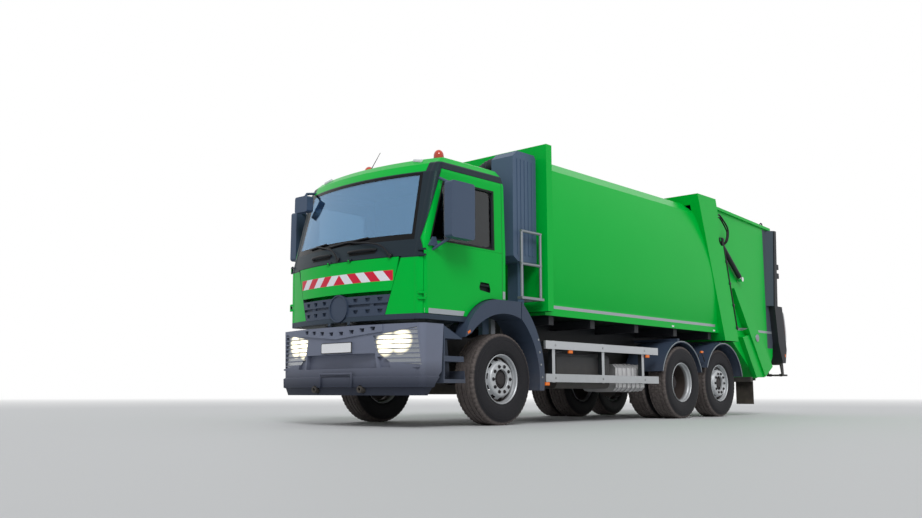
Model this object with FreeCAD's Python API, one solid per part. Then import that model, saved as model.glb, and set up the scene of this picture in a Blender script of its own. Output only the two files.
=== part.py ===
import FreeCAD, Part
import math
import os

V = FreeCAD.Vector

# Overall layout, millimetres: +X forward, +Y left, +Z up, ground at zero
FRONT_AXLE_X = 3250
WHEELBASE = 4100
BOGIE = 1350
DRIVE_X = FRONT_AXLE_X - WHEELBASE
TAG_X = DRIVE_X - BOGIE
BODY_HALF = 1250

# Fits and working gaps
RUN_FIT = 0.1
SEAT_GAP = 0.3
MOVE_GAP = 8
PANEL_GAP = 6

# Wheels
TYRE_R = 530
TYRE_W = 315
TYRE_BORE = 289
TYRE_SIDES = 60
SHOULDER = 34
WHEEL_Z = TYRE_R
SINGLE_OUT = 1165
TWIN_OUT = 1238
TWIN_GAP = 42
HAND_HOLES = 10
HUB_R = 140
SPINDLE_R = 55
RIM_WALL = 14

# Axles
KINGPIN_Y = 880
KINGPIN_R = 22
BOSS_R = 50
BOSS_H = 150
BEAM_W = 96
BEAM_H = 110
SPRING_W = 76

# Chassis frame
RAIL_Y = 352
RAIL_W = 76
RAIL_Z0 = 790
RAIL_Z1 = 1050
RAIL_WALL = 12
FRAME_FRONT = 4420
FRAME_REAR = -2870

# Front wings
WING_IN = 820
WING_FACE = 1156
WING_OUT = 1225
WING_SEAT = 0.8

# Tow lugs
TOW_X = 4790
TOW_Z = 410
TOW_R = 20
TOW_WALL = 18
TOW_DEEP = 60

# Cab
CAB_HALF = 1150
CAB_REAR = 3180
CAB_FLOOR = 1210
CAB_WALL = 56
CAB_CROWN = 150
CAB_CORNER = 110
FLAT_TRIM = 0.5
CAB_TILT_X = 4750
CAB_TILT_Z = 1136
CAB_TILT_R = 18
CAB_TILT_PIN = 9
FRONT_APEX = 4780
BAND_Z0 = 1850
SCREEN_Z0 = 2035
SCREEN_Z1 = 2825
SCREEN_X0 = 4730
SCREEN_X1 = 4530
ROOF_Z = 3060

# Doors
DOOR_FRONT = 4545
DOOR_REAR = 3240
DOOR_Z0 = 1222
DOOR_Z1 = 2860
DOOR_TOP_FRONT = 4265
DOOR_BELT = 2040
DOOR_IN = 1060
DOOR_OUT = CAB_HALF + 50
DOOR_HINGE_X = 4556
DOOR_HINGE_Y = 1162
DOOR_EYE_R = 12
DOOR_PIN_R = 6
DOOR_HINGE_HEIGHTS = (1390, 1860)
GLASS_T = 12

# Front flap and grille, whose sides flare upwards together
PANEL_HALF = 680
PANEL_FLARE = 0.32
FLAP_Z0 = 1480
FLAP_T = 16
FLAP_KNEE = 150
FLAP_DRAW = 24
FLAP_HINGE_X = 4788
FLAP_EYE_R = 9
FLAP_PIN_R = 4
GRILLE_Z0 = 1212
GRILLE_Z1 = 1440
SLAT_GAP_Z0 = 1320
SLAT_GAP_Z1 = 1350
GRILLE_DEEP = 26
PORT_W = 76
PORT_H = 42
PORT_SPOTS = (270, 450, 620)
BADGE_R = 156
BADGE_Z = 1318

# Bumper
BUMPER_TOP = 1112
BUMPER_BOTTOM = 345
BUMPER_HALF = 1215
BUMPER_BACK = 4300
BUMPER_APEX = 4796
BUMPER_CROWN = 150
BUMPER_CORNER = 90
BUMPER_WALL = 50
LEDGE_Z = 540
LAMP_POCKET = ((560, 990), (1128, 1072), (1172, 668), (770, 700), (615, 800))
LAMP_SLATS = 8
LAMP_BACK = 4520
SLAT_T = 12
FOG_POCKET = ((612, 760), (752, 766), (790, 645), (655, 645))
VEE_HALF = 700
VEE_DROP = 78
VEE_PROUD = 16
VEE_PORTS = (85, 255, 415, 570)
MOUTH_HALF = 585
MOUTH_Z0 = 640
MOUTH_Z1 = 800
MOUTH_DEEP = 120
PLATE_HALF = 262
LOOP_HALF = 270

# Body
BODY_FRONT = 2420
BODY_FLOOR = 1330
BODY_TOP = 3376
BODY_WALL = 32
POST_D = 115
POST_TOP = 3490
RING_TOP = 3500
RING_TOP_X = -2100
RING_BOTTOM = 1208
RING_BOTTOM_X = -2715
RING_MOUTH = 1088
RING_FRONT_TOP = -1490
RING_FRONT_BOTTOM = -2250

# Tailgate
GATE_HINGE_X = -2145
GATE_HINGE_Z = 3520
GATE_LUG_R = 32
GATE_PIN_R = 18
GATE_HALF = 1140
GATE_WALL = 40
GATE_ROOF_F = 3424
GATE_ROOF_R = 3320
GATE_REAR = -4340
EDGE_OUT = 34
EDGE_DROP = 46
FOLD_OUT = 1232
SILL_X = -4300
SILL_Z = 1250

# Lift cylinders beside the tailgate
LIFT_A = (-2262, 2850)
LIFT_B = (-3010, 2270)
LIFT_Y = 1196
LIFT_PIN_R = 22
BARREL_R = 41
ROD_R = 25

# Packer inside the hopper
SLIDE_LEAN = 0.2683
CARRIAGE_X = -2950
CARRIAGE_Z = 2250
CARRIAGE_LONG = 850
CARRIAGE_T = 60
PACK_HALF = 1060
BLADE_LONG = 540
BLADE_REST = 20

# Bin lifter and rear steps
LIFTER_X = -4405
LIFTER_Z = 1235
LIFTER_Y = 735
STEP_HINGE_X = -4560
STEP_HINGE_Z = 690

# The origin stands under the middle of the whole length
FRONT_END = BUMPER_APEX + VEE_PROUD
REAR_END = -4800
MID_X = (FRONT_END + REAR_END) / 2


def box(x0, x1, y0, y1, z0, z1):
    return Part.makeBox(x1 - x0, y1 - y0, z1 - z0, V(x0, y0, z0))


def rod(r, start, end):
    a = V(*start)
    b = V(*end)
    return Part.makeCylinder(r, (b - a).Length, a, b - a)


def side_face(points, y):
    """A face in the plane of constant Y from (x, z) points."""
    corners = [V(x, y, z) for x, z in points]
    return Part.Face(Part.makePolygon(corners + [corners[0]]))


def side_prism(points, y0, y1):
    return side_face(points, y0).extrude(V(0, y1 - y0, 0))


def plan_prism(points, z0, z1):
    corners = [V(x, y, z0) for x, y in points]
    face = Part.Face(Part.makePolygon(corners + [corners[0]]))
    return face.extrude(V(0, 0, z1 - z0))


def front_prism(points, x0, x1):
    """A prism along X from (y, z) points."""
    corners = [V(x0, y, z) for y, z in points]
    face = Part.Face(Part.makePolygon(corners + [corners[0]]))
    return face.extrude(V(x1 - x0, 0, 0))


def mirrored(shape):
    return shape.mirror(V(0, 0, 0), V(0, 1, 0))


def pair(shape):
    return Part.makeCompound([shape, mirrored(shape)])


def fused(shapes):
    whole = shapes[0].multiFuse(shapes[1:])
    return whole.removeSplitter()


def spun(points, x, z):
    """A ring turned about the wheel axis from (radius, y) points."""
    corners = [V(x, y, z + r) for r, y in points]
    face = Part.Face(Part.makePolygon(corners + [corners[0]]))
    return face.revolve(V(x, 0, z), V(0, 1, 0), 360)


def save(name, shape):
    """Write one piece, moved so that the origin lies at mid length."""
    os.makedirs("parts", exist_ok=True)
    placed = shape.translated(V(-MID_X, 0, 0))
    placed.exportStep("parts/" + name + ".step")


# Wheels and tyres

def ring_wire(radius, x, y):
    """A many-sided loop around a wheel's axis whose flats lie at the radius."""
    corner = radius / math.cos(math.pi / TYRE_SIDES)
    angles = [2 * math.pi * (i + 0.5) / TYRE_SIDES for i in range(TYRE_SIDES + 1)]
    points = [V(x + corner * math.sin(a), y, WHEEL_Z + corner * math.cos(a)) for a in angles]
    return Part.makePolygon(points[:-1] + points[:1])


def tyre(x, y_out):
    """One tyre whose outer sidewall stands at y_out."""
    y_in = y_out - TYRE_W
    low = TYRE_R - SHOULDER
    wires = [ring_wire(low, x, y_in), ring_wire(TYRE_R, x, y_in + SHOULDER)]
    wires += [ring_wire(TYRE_R, x, y_out - SHOULDER), ring_wire(low, x, y_out)]
    bore = Part.Face(ring_wire(TYRE_BORE, x, y_in - 1)).extrude(V(0, TYRE_W + 2, 0))
    return Part.makeLoft(wires, True, True).cut(bore)


def hand_holes(x, y0, y1):
    """Cutters for the ring of D-shaped holes at the edge of a wheel disc."""
    reach = TYRE_BORE - RIM_WALL - 6
    outline = [(-0.16, reach), (0.16, reach), (0.13, reach - 34), (0.06, reach - 50), (-0.06, reach - 50), (-0.13, reach - 34)]
    cutters = []
    for i in range(HAND_HOLES):
        turn = 2 * math.pi * i / HAND_HOLES
        points = [(x + r * math.sin(turn + a), WHEEL_Z + r * math.cos(turn + a)) for a, r in outline]
        cutters.append(side_prism(points, y0, y1))
    return Part.makeCompound(cutters)


def single_rim(x, y_out, disc_y):
    """A rim whose disc and hub stand outboard, open towards the axle."""
    r = TYRE_BORE - SEAT_GAP
    y_lip = y_out - SHOULDER + 10
    y_in = y_out - TYRE_W + SHOULDER - 10
    points = [
        (SPINDLE_R + RUN_FIT, disc_y - 95),
        (HUB_R - 30, disc_y - 95),
        (HUB_R - 30, disc_y - 22),
        (r - RIM_WALL, disc_y - 22),
        (r - RIM_WALL, y_in),
        (r, y_in),
        (r, y_lip),
        (r - RIM_WALL, y_lip),
        (r - RIM_WALL, disc_y),
        (HUB_R, disc_y),
        (HUB_R - 24, y_out - 22),
        (0, y_out - 22),
        (0, disc_y - 20),
        (SPINDLE_R + RUN_FIT, disc_y - 20),
    ]
    return spun(points, x, WHEEL_Z).cut(hand_holes(x, disc_y - 30, disc_y + 5))


def twin_rim(x):
    """Two rims bolted back to back on one hub, dished towards the outside."""
    r = TYRE_BORE - SEAT_GAP
    y_out = TWIN_OUT
    y_mid = TWIN_OUT - TYRE_W - TWIN_GAP / 2
    y_in = TWIN_OUT - 2 * TYRE_W - TWIN_GAP
    points = [
        (SPINDLE_R + RUN_FIT, y_mid - 150),
        (HUB_R - 30, y_mid - 150),
        (HUB_R - 30, y_mid - 20),
        (r - RIM_WALL, y_mid - 20),
        (r - RIM_WALL, y_in + SHOULDER - 10),
        (r, y_in + SHOULDER - 10),
        (r, y_out - SHOULDER + 10),
        (r - RIM_WALL, y_out - SHOULDER + 10),
        (r - RIM_WALL, y_mid + 10),
        (HUB_R, y_mid + 10),
        (HUB_R - 24, y_mid + 190),
        (0, y_mid + 190),
        (0, y_mid - 20),
        (SPINDLE_R + RUN_FIT, y_mid - 20),
    ]
    return spun(points, x, WHEEL_Z).cut(hand_holes(x, y_mid - 30, y_mid + 20))


def save_wheels():
    front_disc = SINGLE_OUT - 95
    for name, x in (("front", FRONT_AXLE_X), ("tag", TAG_X)):
        ring = tyre(x, SINGLE_OUT)
        rim = single_rim(x, SINGLE_OUT, front_disc)
        save("tyre_" + name + "_left", ring)
        save("tyre_" + name + "_right", mirrored(ring))
        save("rim_" + name + "_left", rim)
        save("rim_" + name + "_right", mirrored(rim))
    outer = tyre(DRIVE_X, TWIN_OUT)
    inner = tyre(DRIVE_X, TWIN_OUT - TYRE_W - TWIN_GAP)
    twins = Part.makeCompound([outer, inner])
    save("tyres_drive_left", twins)
    save("tyres_drive_right", mirrored(twins))
    rim = twin_rim(DRIVE_X)
    save("rim_drive_left", rim)
    save("rim_drive_right", mirrored(rim))


# Steered axles

def knuckle(x):
    """A fork round the axle boss with the kingpin and the wheel spindle."""
    top = WHEEL_Z + BOSS_H / 2 + 5
    low = WHEEL_Z - BOSS_H / 2 - 5
    lug = 32
    y_plate = KINGPIN_Y + BOSS_R + 8
    upper = box(x - 45, x + 45, KINGPIN_Y - 40, y_plate + 26, top, top + lug)
    lower = box(x - 45, x + 45, KINGPIN_Y - 40, y_plate + 26, low - lug, low)
    plate = box(x - 75, x + 75, y_plate, y_plate + 26, low - lug, top + lug)
    pin = rod(KINGPIN_R, (x, KINGPIN_Y, low - lug), (x, KINGPIN_Y, top + lug))
    spindle_end = SINGLE_OUT - 95 - 26
    spindle = rod(SPINDLE_R, (x, y_plate + 20, WHEEL_Z), (x, spindle_end, WHEEL_Z))
    return fused([upper, lower, plate, pin, spindle])


def steered_axle(x):
    """A drop beam with a bored boss at each end."""
    drop = 120
    z_mid = WHEEL_Z - drop
    half = BEAM_H / 2
    run = KINGPIN_Y - 20
    upper = [(-run, WHEEL_Z + half), (-560, WHEEL_Z + half), (-470, z_mid + half)]
    upper += [(470, z_mid + half), (560, WHEEL_Z + half), (run, WHEEL_Z + half)]
    under = [(run, WHEEL_Z - half), (540, WHEEL_Z - half), (440, z_mid - half)]
    under += [(-440, z_mid - half), (-540, WHEEL_Z - half), (-run, WHEEL_Z - half)]
    corners = [V(x - BEAM_W / 2, y, z) for y, z in upper + under]
    beam = Part.Face(Part.makePolygon(corners + [corners[0]])).extrude(V(BEAM_W, 0, 0))
    bosses = []
    bores = []
    for y in (-KINGPIN_Y, KINGPIN_Y):
        foot = (x, y, WHEEL_Z - BOSS_H / 2)
        head = (x, y, WHEEL_Z + BOSS_H / 2)
        bosses.append(rod(BOSS_R, foot, head))
        bores.append(rod(KINGPIN_R + RUN_FIT, foot, head))
    whole = fused([beam] + bosses)
    for bore in bores:
        whole = whole.cut(bore)
    return whole


def save_axles():
    for name, x in (("front", FRONT_AXLE_X), ("tag", TAG_X)):
        left = knuckle(x)
        save("knuckle_" + name + "_left", left)
        save("knuckle_" + name + "_right", mirrored(left))
        save(name + "_axle", steered_axle(x))
    y_hub = TWIN_OUT - TYRE_W - TWIN_GAP / 2 - 26
    tube = rod(SPINDLE_R, (DRIVE_X, -y_hub, WHEEL_Z), (DRIVE_X, y_hub, WHEEL_Z))
    casing = rod(92, (DRIVE_X, -520, WHEEL_Z), (DRIVE_X, 520, WHEEL_Z))
    bowl = rod(215, (DRIVE_X - 95, 0, WHEEL_Z), (DRIVE_X + 125, 0, WHEEL_Z))
    nose = Part.makeCone(150, 70, 330, V(DRIVE_X + 120, 0, WHEEL_Z + 20), V(1, 0, 0.08))
    save("drive_axle", fused([tube, casing, bowl, nose]))


# Chassis

def leaf_spring(x, half_length, y_mid):
    """A cambered leaf pack from its eyes under the rail down to the axle seat."""
    seat = WHEEL_Z - 120 + BEAM_H / 2 + SEAT_GAP
    top = RAIL_Z0
    points = [
        (x - half_length, top - 60), (x - half_length, top), (x - half_length + 70, top),
        (x - half_length + 110, top - 70), (x - 120, seat + 110), (x + 120, seat + 110),
        (x + half_length - 110, top - 70), (x + half_length - 70, top),
        (x + half_length, top), (x + half_length, top - 60),
        (x + 130, seat), (x - 130, seat),
    ]
    return side_prism(points, y_mid - SPRING_W / 2, y_mid + SPRING_W / 2)


def chassis_frame():
    """Two channel rails tied by cross members."""
    outer = box(FRAME_REAR, FRAME_FRONT, RAIL_Y, RAIL_Y + RAIL_W, RAIL_Z0, RAIL_Z1)
    hollow = box(
        FRAME_REAR - 1, FRAME_FRONT + 1, RAIL_Y - 1, RAIL_Y + RAIL_W - RAIL_WALL,
        RAIL_Z0 + RAIL_WALL, RAIL_Z1 - RAIL_WALL)
    rail = outer.cut(hollow)
    pieces = [rail, mirrored(rail)]
    reach = RAIL_Y + RAIL_W - RAIL_WALL
    for x in (FRAME_FRONT - 90, 2470, 1500, 300, DRIVE_X, (DRIVE_X + TAG_X) / 2, FRAME_REAR + 60):
        pieces.append(box(x - 45, x + 45, -reach, reach, RAIL_Z0 + 50, RAIL_Z1 - RAIL_WALL))
    return fused(pieces)


def subframe():
    """The longitudinal bearers between frame and body."""
    bearer = box(-2200, BODY_FRONT, RAIL_Y, RAIL_Y + RAIL_W, RAIL_Z1, BODY_FLOOR)
    pieces = [bearer, mirrored(bearer)]
    for x in (BODY_FRONT - 200, 1300, 200, -900, -2000):
        pieces.append(box(x - 50, x + 50, -1100, 1100, BODY_FLOOR - 110, BODY_FLOOR))
    return fused(pieces)


def engine_block():
    block = box(FRONT_AXLE_X + 80, 4230, -330, 330, 640, 1140)
    mounts = [box(x - 40, x + 40, -RAIL_Y, RAIL_Y, RAIL_Z0, RAIL_Z1 - 60) for x in (3500, 4080)]
    return fused([block] + mounts)


def gearbox():
    """Gearbox and propeller shaft behind the engine."""
    back = FRONT_AXLE_X + 80
    case = box(back - 760, back, -210, 210, 640, 1000)
    shaft = rod(48, (back - 760, 0, 765), (DRIVE_X + 450.5, 0, WHEEL_Z + 46.4))
    return fused([case, shaft])


def rear_suspension():
    """Trailing beams with air bellows over the two rear axles."""
    y1 = RAIL_Y + RAIL_W
    pieces = []
    for x in (DRIVE_X, TAG_X):
        top = WHEEL_Z + 92 + SEAT_GAP
        if x == TAG_X:
            top = WHEEL_Z - 120 + BEAM_H / 2 + SEAT_GAP
        seat = box(x - 90, x + 90, RAIL_Y, y1, top, top + 60)
        arm = side_prism([(x + 560, RAIL_Z0), (x + 480, RAIL_Z0), (x - 320, top + 60),
                          (x - 320, top), (x + 90, top), (x + 560, RAIL_Z0 - 90)], RAIL_Y, y1)
        bellows = rod(80, (x - 235, (RAIL_Y + y1) / 2, top + 50), (x - 235, (RAIL_Y + y1) / 2, RAIL_Z0))
        pieces.append(fused([seat, arm, bellows]))
    return Part.makeCompound(pieces + [mirrored(p) for p in pieces])


def save_chassis():
    save("chassis_frame", fused([chassis_frame(), subframe()] + cab_tilt_brackets()))
    save("tow_sockets", tow_sockets())
    save("engine_and_drive", fused([engine_block(), gearbox()]))
    springs = pair(leaf_spring(FRONT_AXLE_X, 760, RAIL_Y + RAIL_W / 2))
    save("suspension", Part.makeCompound([springs, rear_suspension()]))


# Bumper, lamps and steps

def bowed_section(z, apex, crown, half, corner, back, inset):
    """A closed plan wire with a bowed front, rounded front corners and a straight back."""
    a = apex - inset
    h = half - inset
    r = max(corner - inset, 10)
    b = back + inset
    edge_x = a - crown
    y_arc = h - r
    start = V(edge_x, y_arc, z)
    middle = V(a, 0, z)
    end = V(edge_x, -y_arc, z)
    arc = Part.Arc(end, middle, start).toShape()
    knee = 0.7071 * r
    left = Part.Arc(start, V(edge_x - r + knee, y_arc + knee, z), V(edge_x - r, h, z)).toShape()
    right = Part.Arc(V(edge_x - r, -h, z), V(edge_x - r + knee, -y_arc - knee, z), end).toShape()
    side_l = Part.makeLine(V(edge_x - r, h, z), V(b, h, z))
    rear = Part.makeLine(V(b, h, z), V(b, -h, z))
    side_r = Part.makeLine(V(b, -h, z), V(edge_x - r, -h, z))
    return Part.Wire([arc, left, side_l, rear, side_r, right])


def bumper_form(inset, back):
    """The bumper's bowed outer form, drawn in by an inset, with its ledge above the lower lip."""
    levels = [(BUMPER_BOTTOM, 62), (BUMPER_BOTTOM + 80, 34), (BUMPER_BOTTOM + 90, 4), (LEDGE_Z, 0),
              (LEDGE_Z + 14, 24), (BUMPER_TOP, 8)]
    wires = []
    for z, draw in levels:
        wires.append(bowed_section(z, BUMPER_APEX, BUMPER_CROWN, BUMPER_HALF, BUMPER_CORNER, back, inset + draw))
    return Part.makeLoft(wires, True, True)


def bumper_band(outer, inner):
    """A layer of the bumper's face between two insets."""
    return bumper_form(outer, BUMPER_BACK).cut(bumper_form(inner, BUMPER_BACK - 200))


def mouth_outline(grow):
    half = MOUTH_HALF + grow
    return [(-half, MOUTH_Z1 + grow), (half, MOUTH_Z1 + grow), (half + 20, MOUTH_Z0 - grow),
            (-half - 20, MOUTH_Z0 - grow)]


def lamp_pocket(x0, x1):
    left = front_prism(LAMP_POCKET, x0, x1)
    return [left, mirrored(left)]


def bumper_vee():
    """The perforated V-shaped slat along the bumper's top edge."""
    low = BUMPER_TOP - 4 - VEE_DROP
    top = BUMPER_TOP - 4
    outline = [(-VEE_HALF, top), (-VEE_HALF, low), (0, low - 60), (VEE_HALF, low), (VEE_HALF, top)]
    slab = bumper_form(-VEE_PROUD, BUMPER_BACK).common(front_prism(outline, 4500, 4900))
    return slab.cut(bumper_form(BUMPER_WALL - 10, BUMPER_BACK - 200))


def port(y, z):
    """One perforation, wider at its top."""
    w = PORT_W / 2
    h = PORT_H / 2
    return front_prism([(y - w, z + h), (y + w, z + h), (y + w - 12, z - h), (y - w + 12, z - h)], 4500, 4900)


def bumper():
    """The deep front bumper: bowed shell, V slat, lamp pockets behind guard slats, mouth and step loop."""
    shell = bumper_form(0, BUMPER_BACK).cut(bumper_form(BUMPER_WALL, BUMPER_BACK - 200))
    wheel_side = side_prism([(BUMPER_BACK - 10, BUMPER_BOTTOM - 10), (BUMPER_BACK + 200, BUMPER_BOTTOM - 10),
                             (BUMPER_BACK + 130, 480), (BUMPER_BACK - 10, 640)], -BUMPER_HALF - 50, BUMPER_HALF + 50)
    shell = shell.cut(wheel_side)
    fog = front_prism(FOG_POCKET, 4500, 4900).cut(bumper_form(BUMPER_WALL - 14, BUMPER_BACK - 200))
    openings = lamp_pocket(LAMP_BACK, 4900) + [fog, mirrored(fog), front_prism(mouth_outline(0), 4500, 4900)]
    for opening in openings:
        shell = shell.cut(opening)
    slats = bumper_band(2, 14).common(fused_slats())
    rim = front_prism(mouth_outline(16), BUMPER_APEX - MOUTH_DEEP - 16, BUMPER_APEX - 55)
    recess = rim.cut(front_prism(mouth_outline(0), BUMPER_APEX - MOUTH_DEEP, BUMPER_APEX))
    recess = recess.common(bumper_form(4, BUMPER_BACK - 200))
    pieces = [shell, bumper_vee(), recess, slats]
    pieces.append(box(BUMPER_APEX - 60, BUMPER_APEX - 10, -PLATE_HALF, PLATE_HALF, MOUTH_Z1 + 12, MOUTH_Z1 + 132))
    pieces += step_loop()
    beam = box(4560, 4610, -1100, 1100, 560, 660)
    stays = [box(FRAME_FRONT - 160, 4590, y, y + 30, 600, 1000) for y in (RAIL_Y + RAIL_W, -RAIL_Y - RAIL_W - 30)]
    tray = box(4330, 4640, RAIL_Y + RAIL_W + 10, 1160, 640, 660)
    whole = fused(pieces + [beam, tray, mirrored(tray)] + stays)
    for i, y in enumerate(VEE_PORTS):
        z = BUMPER_TOP - 56 + 12 * (i - 2)
        whole = whole.cut(port(y, z)).cut(port(-y, z))
    for y in (RAIL_Y + RAIL_W / 2, -RAIL_Y - RAIL_W / 2):
        whole = whole.cut(rod(TOW_R + TOW_WALL + MOVE_GAP, (BUMPER_BACK, y, TOW_Z), (BUMPER_APEX + 1, y, TOW_Z)))
    return whole


def fused_slats():
    """Level bars across both lamp pockets."""
    low = min(z for y, z in LAMP_POCKET)
    high = max(z for y, z in LAMP_POCKET)
    pitch = (high - low) / LAMP_SLATS
    bars = []
    for i in range(LAMP_SLATS):
        z = low + (i + 0.5) * pitch
        bars.append(box(4450, 4900, -BUMPER_HALF, BUMPER_HALF, z - SLAT_T / 2, z + SLAT_T / 2))
    left = front_prism([(y + (4 if y > 900 else -4), z) for y, z in LAMP_POCKET], 4450, 4900)
    cutters = Part.makeCompound(bars)
    return Part.makeCompound([cutters.common(left), cutters.common(mirrored(left))])


def step_loop():
    """The bent tube below the mouth that serves as a folding step."""
    r = 13
    x = BUMPER_APEX + 2
    low = LEDGE_Z - 100
    high = LEDGE_Z + 42
    pieces = []
    for y in (LOOP_HALF, -LOOP_HALF):
        pieces.append(rod(r, (x, y, low), (x, y, high)))
        pieces.append(Part.makeSphere(r, V(x, y, high)))
        pieces.append(rod(r, (x - 60, y, low), (x + r, y, low)))
    pieces.append(rod(r, (x, -LOOP_HALF, high), (x, LOOP_HALF, high)))
    return pieces


def headlamp():
    """One headlamp unit that fills the bumper's pocket behind the guard slats."""
    outline = Part.makePolygon([V(LAMP_BACK + SEAT_GAP, y, z) for y, z in LAMP_POCKET + LAMP_POCKET[:1]])
    shrunk = Part.Face(outline).makeOffset2D(-SEAT_GAP)
    return bumper_band(24, 62).common(shrunk.extrude(V(500, 0, 0)))


def entry_steps():
    """Step wells between the bumper and the front wheel."""
    well = side_prism([(BUMPER_BACK - 12, 1100), (3990, 965), (3935, 480), (BUMPER_BACK - 12, 480)], 900, 1190)
    treads = [box(3950, BUMPER_BACK - 30, 960, 1200, z, z + 190) for z in (520, 770)]
    step = well
    for tread in treads:
        step = step.cut(tread)
    arm = box(4060, 4110, RAIL_Y + RAIL_W, 905, 800, 860)
    return fused([step, arm])


# Wings and mudguards

def arch_band(x, radius, thick, start, end, y0, y1, centre_z):
    """A curved guard between two angles, measured from the forward horizontal."""
    outer = Part.makeCylinder(radius + thick, y1 - y0, V(x, y0, centre_z), V(0, 1, 0))
    inner = Part.makeCylinder(radius, y1 - y0 + 2, V(x, y0 - 1, centre_z), V(0, 1, 0))
    ring = outer.cut(inner)
    reach = 2 * radius + 400
    a = math.radians(start)
    b = math.radians(end)
    points = [(x, centre_z), (x + reach * math.cos(a), centre_z + reach * math.sin(a))]
    middle = (a + b) / 2
    points.append((x + reach * math.cos(middle), centre_z + reach * math.sin(middle)))
    points.append((x + reach * math.cos(b), centre_z + reach * math.sin(b)))
    return ring.common(side_prism(points, y0 - 2, y1 + 2))


def arc_face(points, y):
    """A face of constant Y whose outline runs through lines and three-point arcs.

    A plain (x, z) entry is a corner and an ("arc", (x, z), (x, z)) entry gives an arc's middle and end.
    """
    edges = []
    here = V(points[0][0], y, points[0][1])
    first = here
    for entry in points[1:]:
        if entry[0] == "arc":
            middle = V(entry[1][0], y, entry[1][1])
            there = V(entry[2][0], y, entry[2][1])
            edges.append(Part.Arc(here, middle, there).toShape())
        else:
            there = V(entry[0], y, entry[1])
            edges.append(Part.makeLine(here, there))
        here = there
    edges.append(Part.makeLine(here, first))
    return Part.Face(Part.Wire(edges))


def wing_pieces(outline, liner, y_face):
    """A wing's outer face and the liner that reaches in over the tyre."""
    face = arc_face(outline, y_face).extrude(V(0, WING_OUT - y_face, 0))
    lining = arc_face(liner, WING_IN).extrude(V(0, y_face - WING_IN, 0))
    return fused([face, lining])


def cab_wings():
    """The upper front wings, which tilt with the cab."""
    outline = [(2980, 1242), ("arc", (3440, 1268), (3868, 1036)), (3974, 986),
               ("arc", (3795, 1285), (3420, 1445)), (2980, 1447)]
    liner = [(2980, 1242), ("arc", (3440, 1268), (3868, 1036)), (3882, 1050),
             ("arc", (3446, 1288), (2980, 1262))]
    skin = [(3974, 986), ("arc", (3795, 1285), (3420, 1445)), (2980, 1447), (2980, 1427), (3410, 1425),
            ("arc", (3779, 1271), (3954, 980))]
    shelf = arc_face(skin, WING_FACE - 96).extrude(V(0, 96, 0))
    return pair(fused([wing_pieces(outline, liner, WING_FACE), shelf]))


def wing_cutter(grow, y0, y1):
    """What the cab and doors leave free above the front wings."""
    outline = [(2700, 900), (3974 + grow, 900), (3974 + grow, 986 + grow),
               ("arc", (3795 + 0.7 * grow, 1285 + 0.7 * grow), (3420, 1445 + grow)), (2700, 1447 + grow)]
    return arc_face(outline, y0).extrude(V(0, y1 - y0, 0))


def chassis_wings():
    """The rear halves of the front wings, which stay with the frame."""
    outline = [(2966, 1237), ("arc", (2718, 920), (2635, 401)), (2544, 401),
               ("arc", (2660, 1080), (2966, 1447))]
    liner = [(2966, 1237), ("arc", (2718, 920), (2635, 401)), (2619, 401), ("arc", (2702, 930), (2966, 1257))]
    arm = box(2560, 2640, RAIL_Y + RAIL_W, WING_FACE, 840, 890)
    return pair(fused([wing_pieces(outline, liner, WING_FACE), arm]))


def rear_mudguards():
    """Half-round guards over the bogie wheels."""
    guards = []
    for x in (DRIVE_X, TAG_X):
        band = arch_band(x, 596, 14, 165, 15, 600, 1240, WHEEL_Z)
        if x == TAG_X:
            band = arch_band(x, 620, 14, 170, 22, 820, 1240, WHEEL_Z)
        lip = arch_band(x, 588, 24, 165, 15, 1226, 1240, WHEEL_Z)
        if x == TAG_X:
            lip = arch_band(x, 612, 24, 170, 22, 1226, 1240, WHEEL_Z)
        stay = box(x - 30, x + 30, RAIL_Y + RAIL_W, 1180, WHEEL_Z + 608, WHEEL_Z + 650)
        guards.append(fused([band, lip, stay]))
    return Part.makeCompound(guards + [mirrored(g) for g in guards])


def side_guards():
    """Double side rails on drop brackets."""
    front = 2500
    back = -170
    rails = []
    for z in (505, 910):
        rails.append(box(back, front, 1190, 1222, z, z + 100))
    drops = [box(x - 30, x + 30, 1130, 1190, 500, 1015) for x in (2300, 1200, 200)]
    arms = [box(x - 30, x + 30, RAIL_Y + RAIL_W, 1135, 950, 1010) for x in (2300, 1200, 200)]
    return pair(fused(rails + drops + arms))


def silencer():
    """The silver exhaust box low on the left side, with swaged ribs and two clamp straps."""
    body = silencer_band(60, 800, 0)
    ribs = [silencer_band(x, x + 30, 8) for x in (150, 260, 600, 710)]
    straps = [silencer_band(x, x + 44, 14) for x in (360, 480)]
    hanger = box(380, 460, RAIL_Y + RAIL_W, 700, 700, 860)
    return fused([body, hanger] + ribs + straps)


def silencer_band(x0, x1, grow):
    """A rounded box section of the silencer between two stations."""
    block = box(x0, x1, 560 - grow, 1120 + grow, 400 - grow, 760 + grow)
    return block.makeChamfer(50 + grow / 2, [e for e in block.Edges if abs(e.tangentAt(e.FirstParameter).x) > 0.9])


def fuel_tank():
    """Dark tanks on both sides of the frame."""
    left = box(950, 2150, 560, 1120, 430, 880)
    left = left.makeFillet(70, [e for e in left.Edges if abs(e.tangentAt(e.FirstParameter).x) > 0.9])
    right = mirrored(box(200, 2150, 560, 1120, 430, 880))
    right = right.makeFillet(70, [e for e in right.Edges if abs(e.tangentAt(e.FirstParameter).x) > 0.9])
    stays_l = [box(x - 30, x + 30, RAIL_Y + RAIL_W, 620, 800, 860) for x in (1150, 1850)]
    stays_r = [mirrored(box(x - 30, x + 30, RAIL_Y + RAIL_W, 620, 800, 860)) for x in (500, 1850)]
    return Part.makeCompound([fused([left] + stays_l), fused([right] + stays_r)])


# Cab

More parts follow.
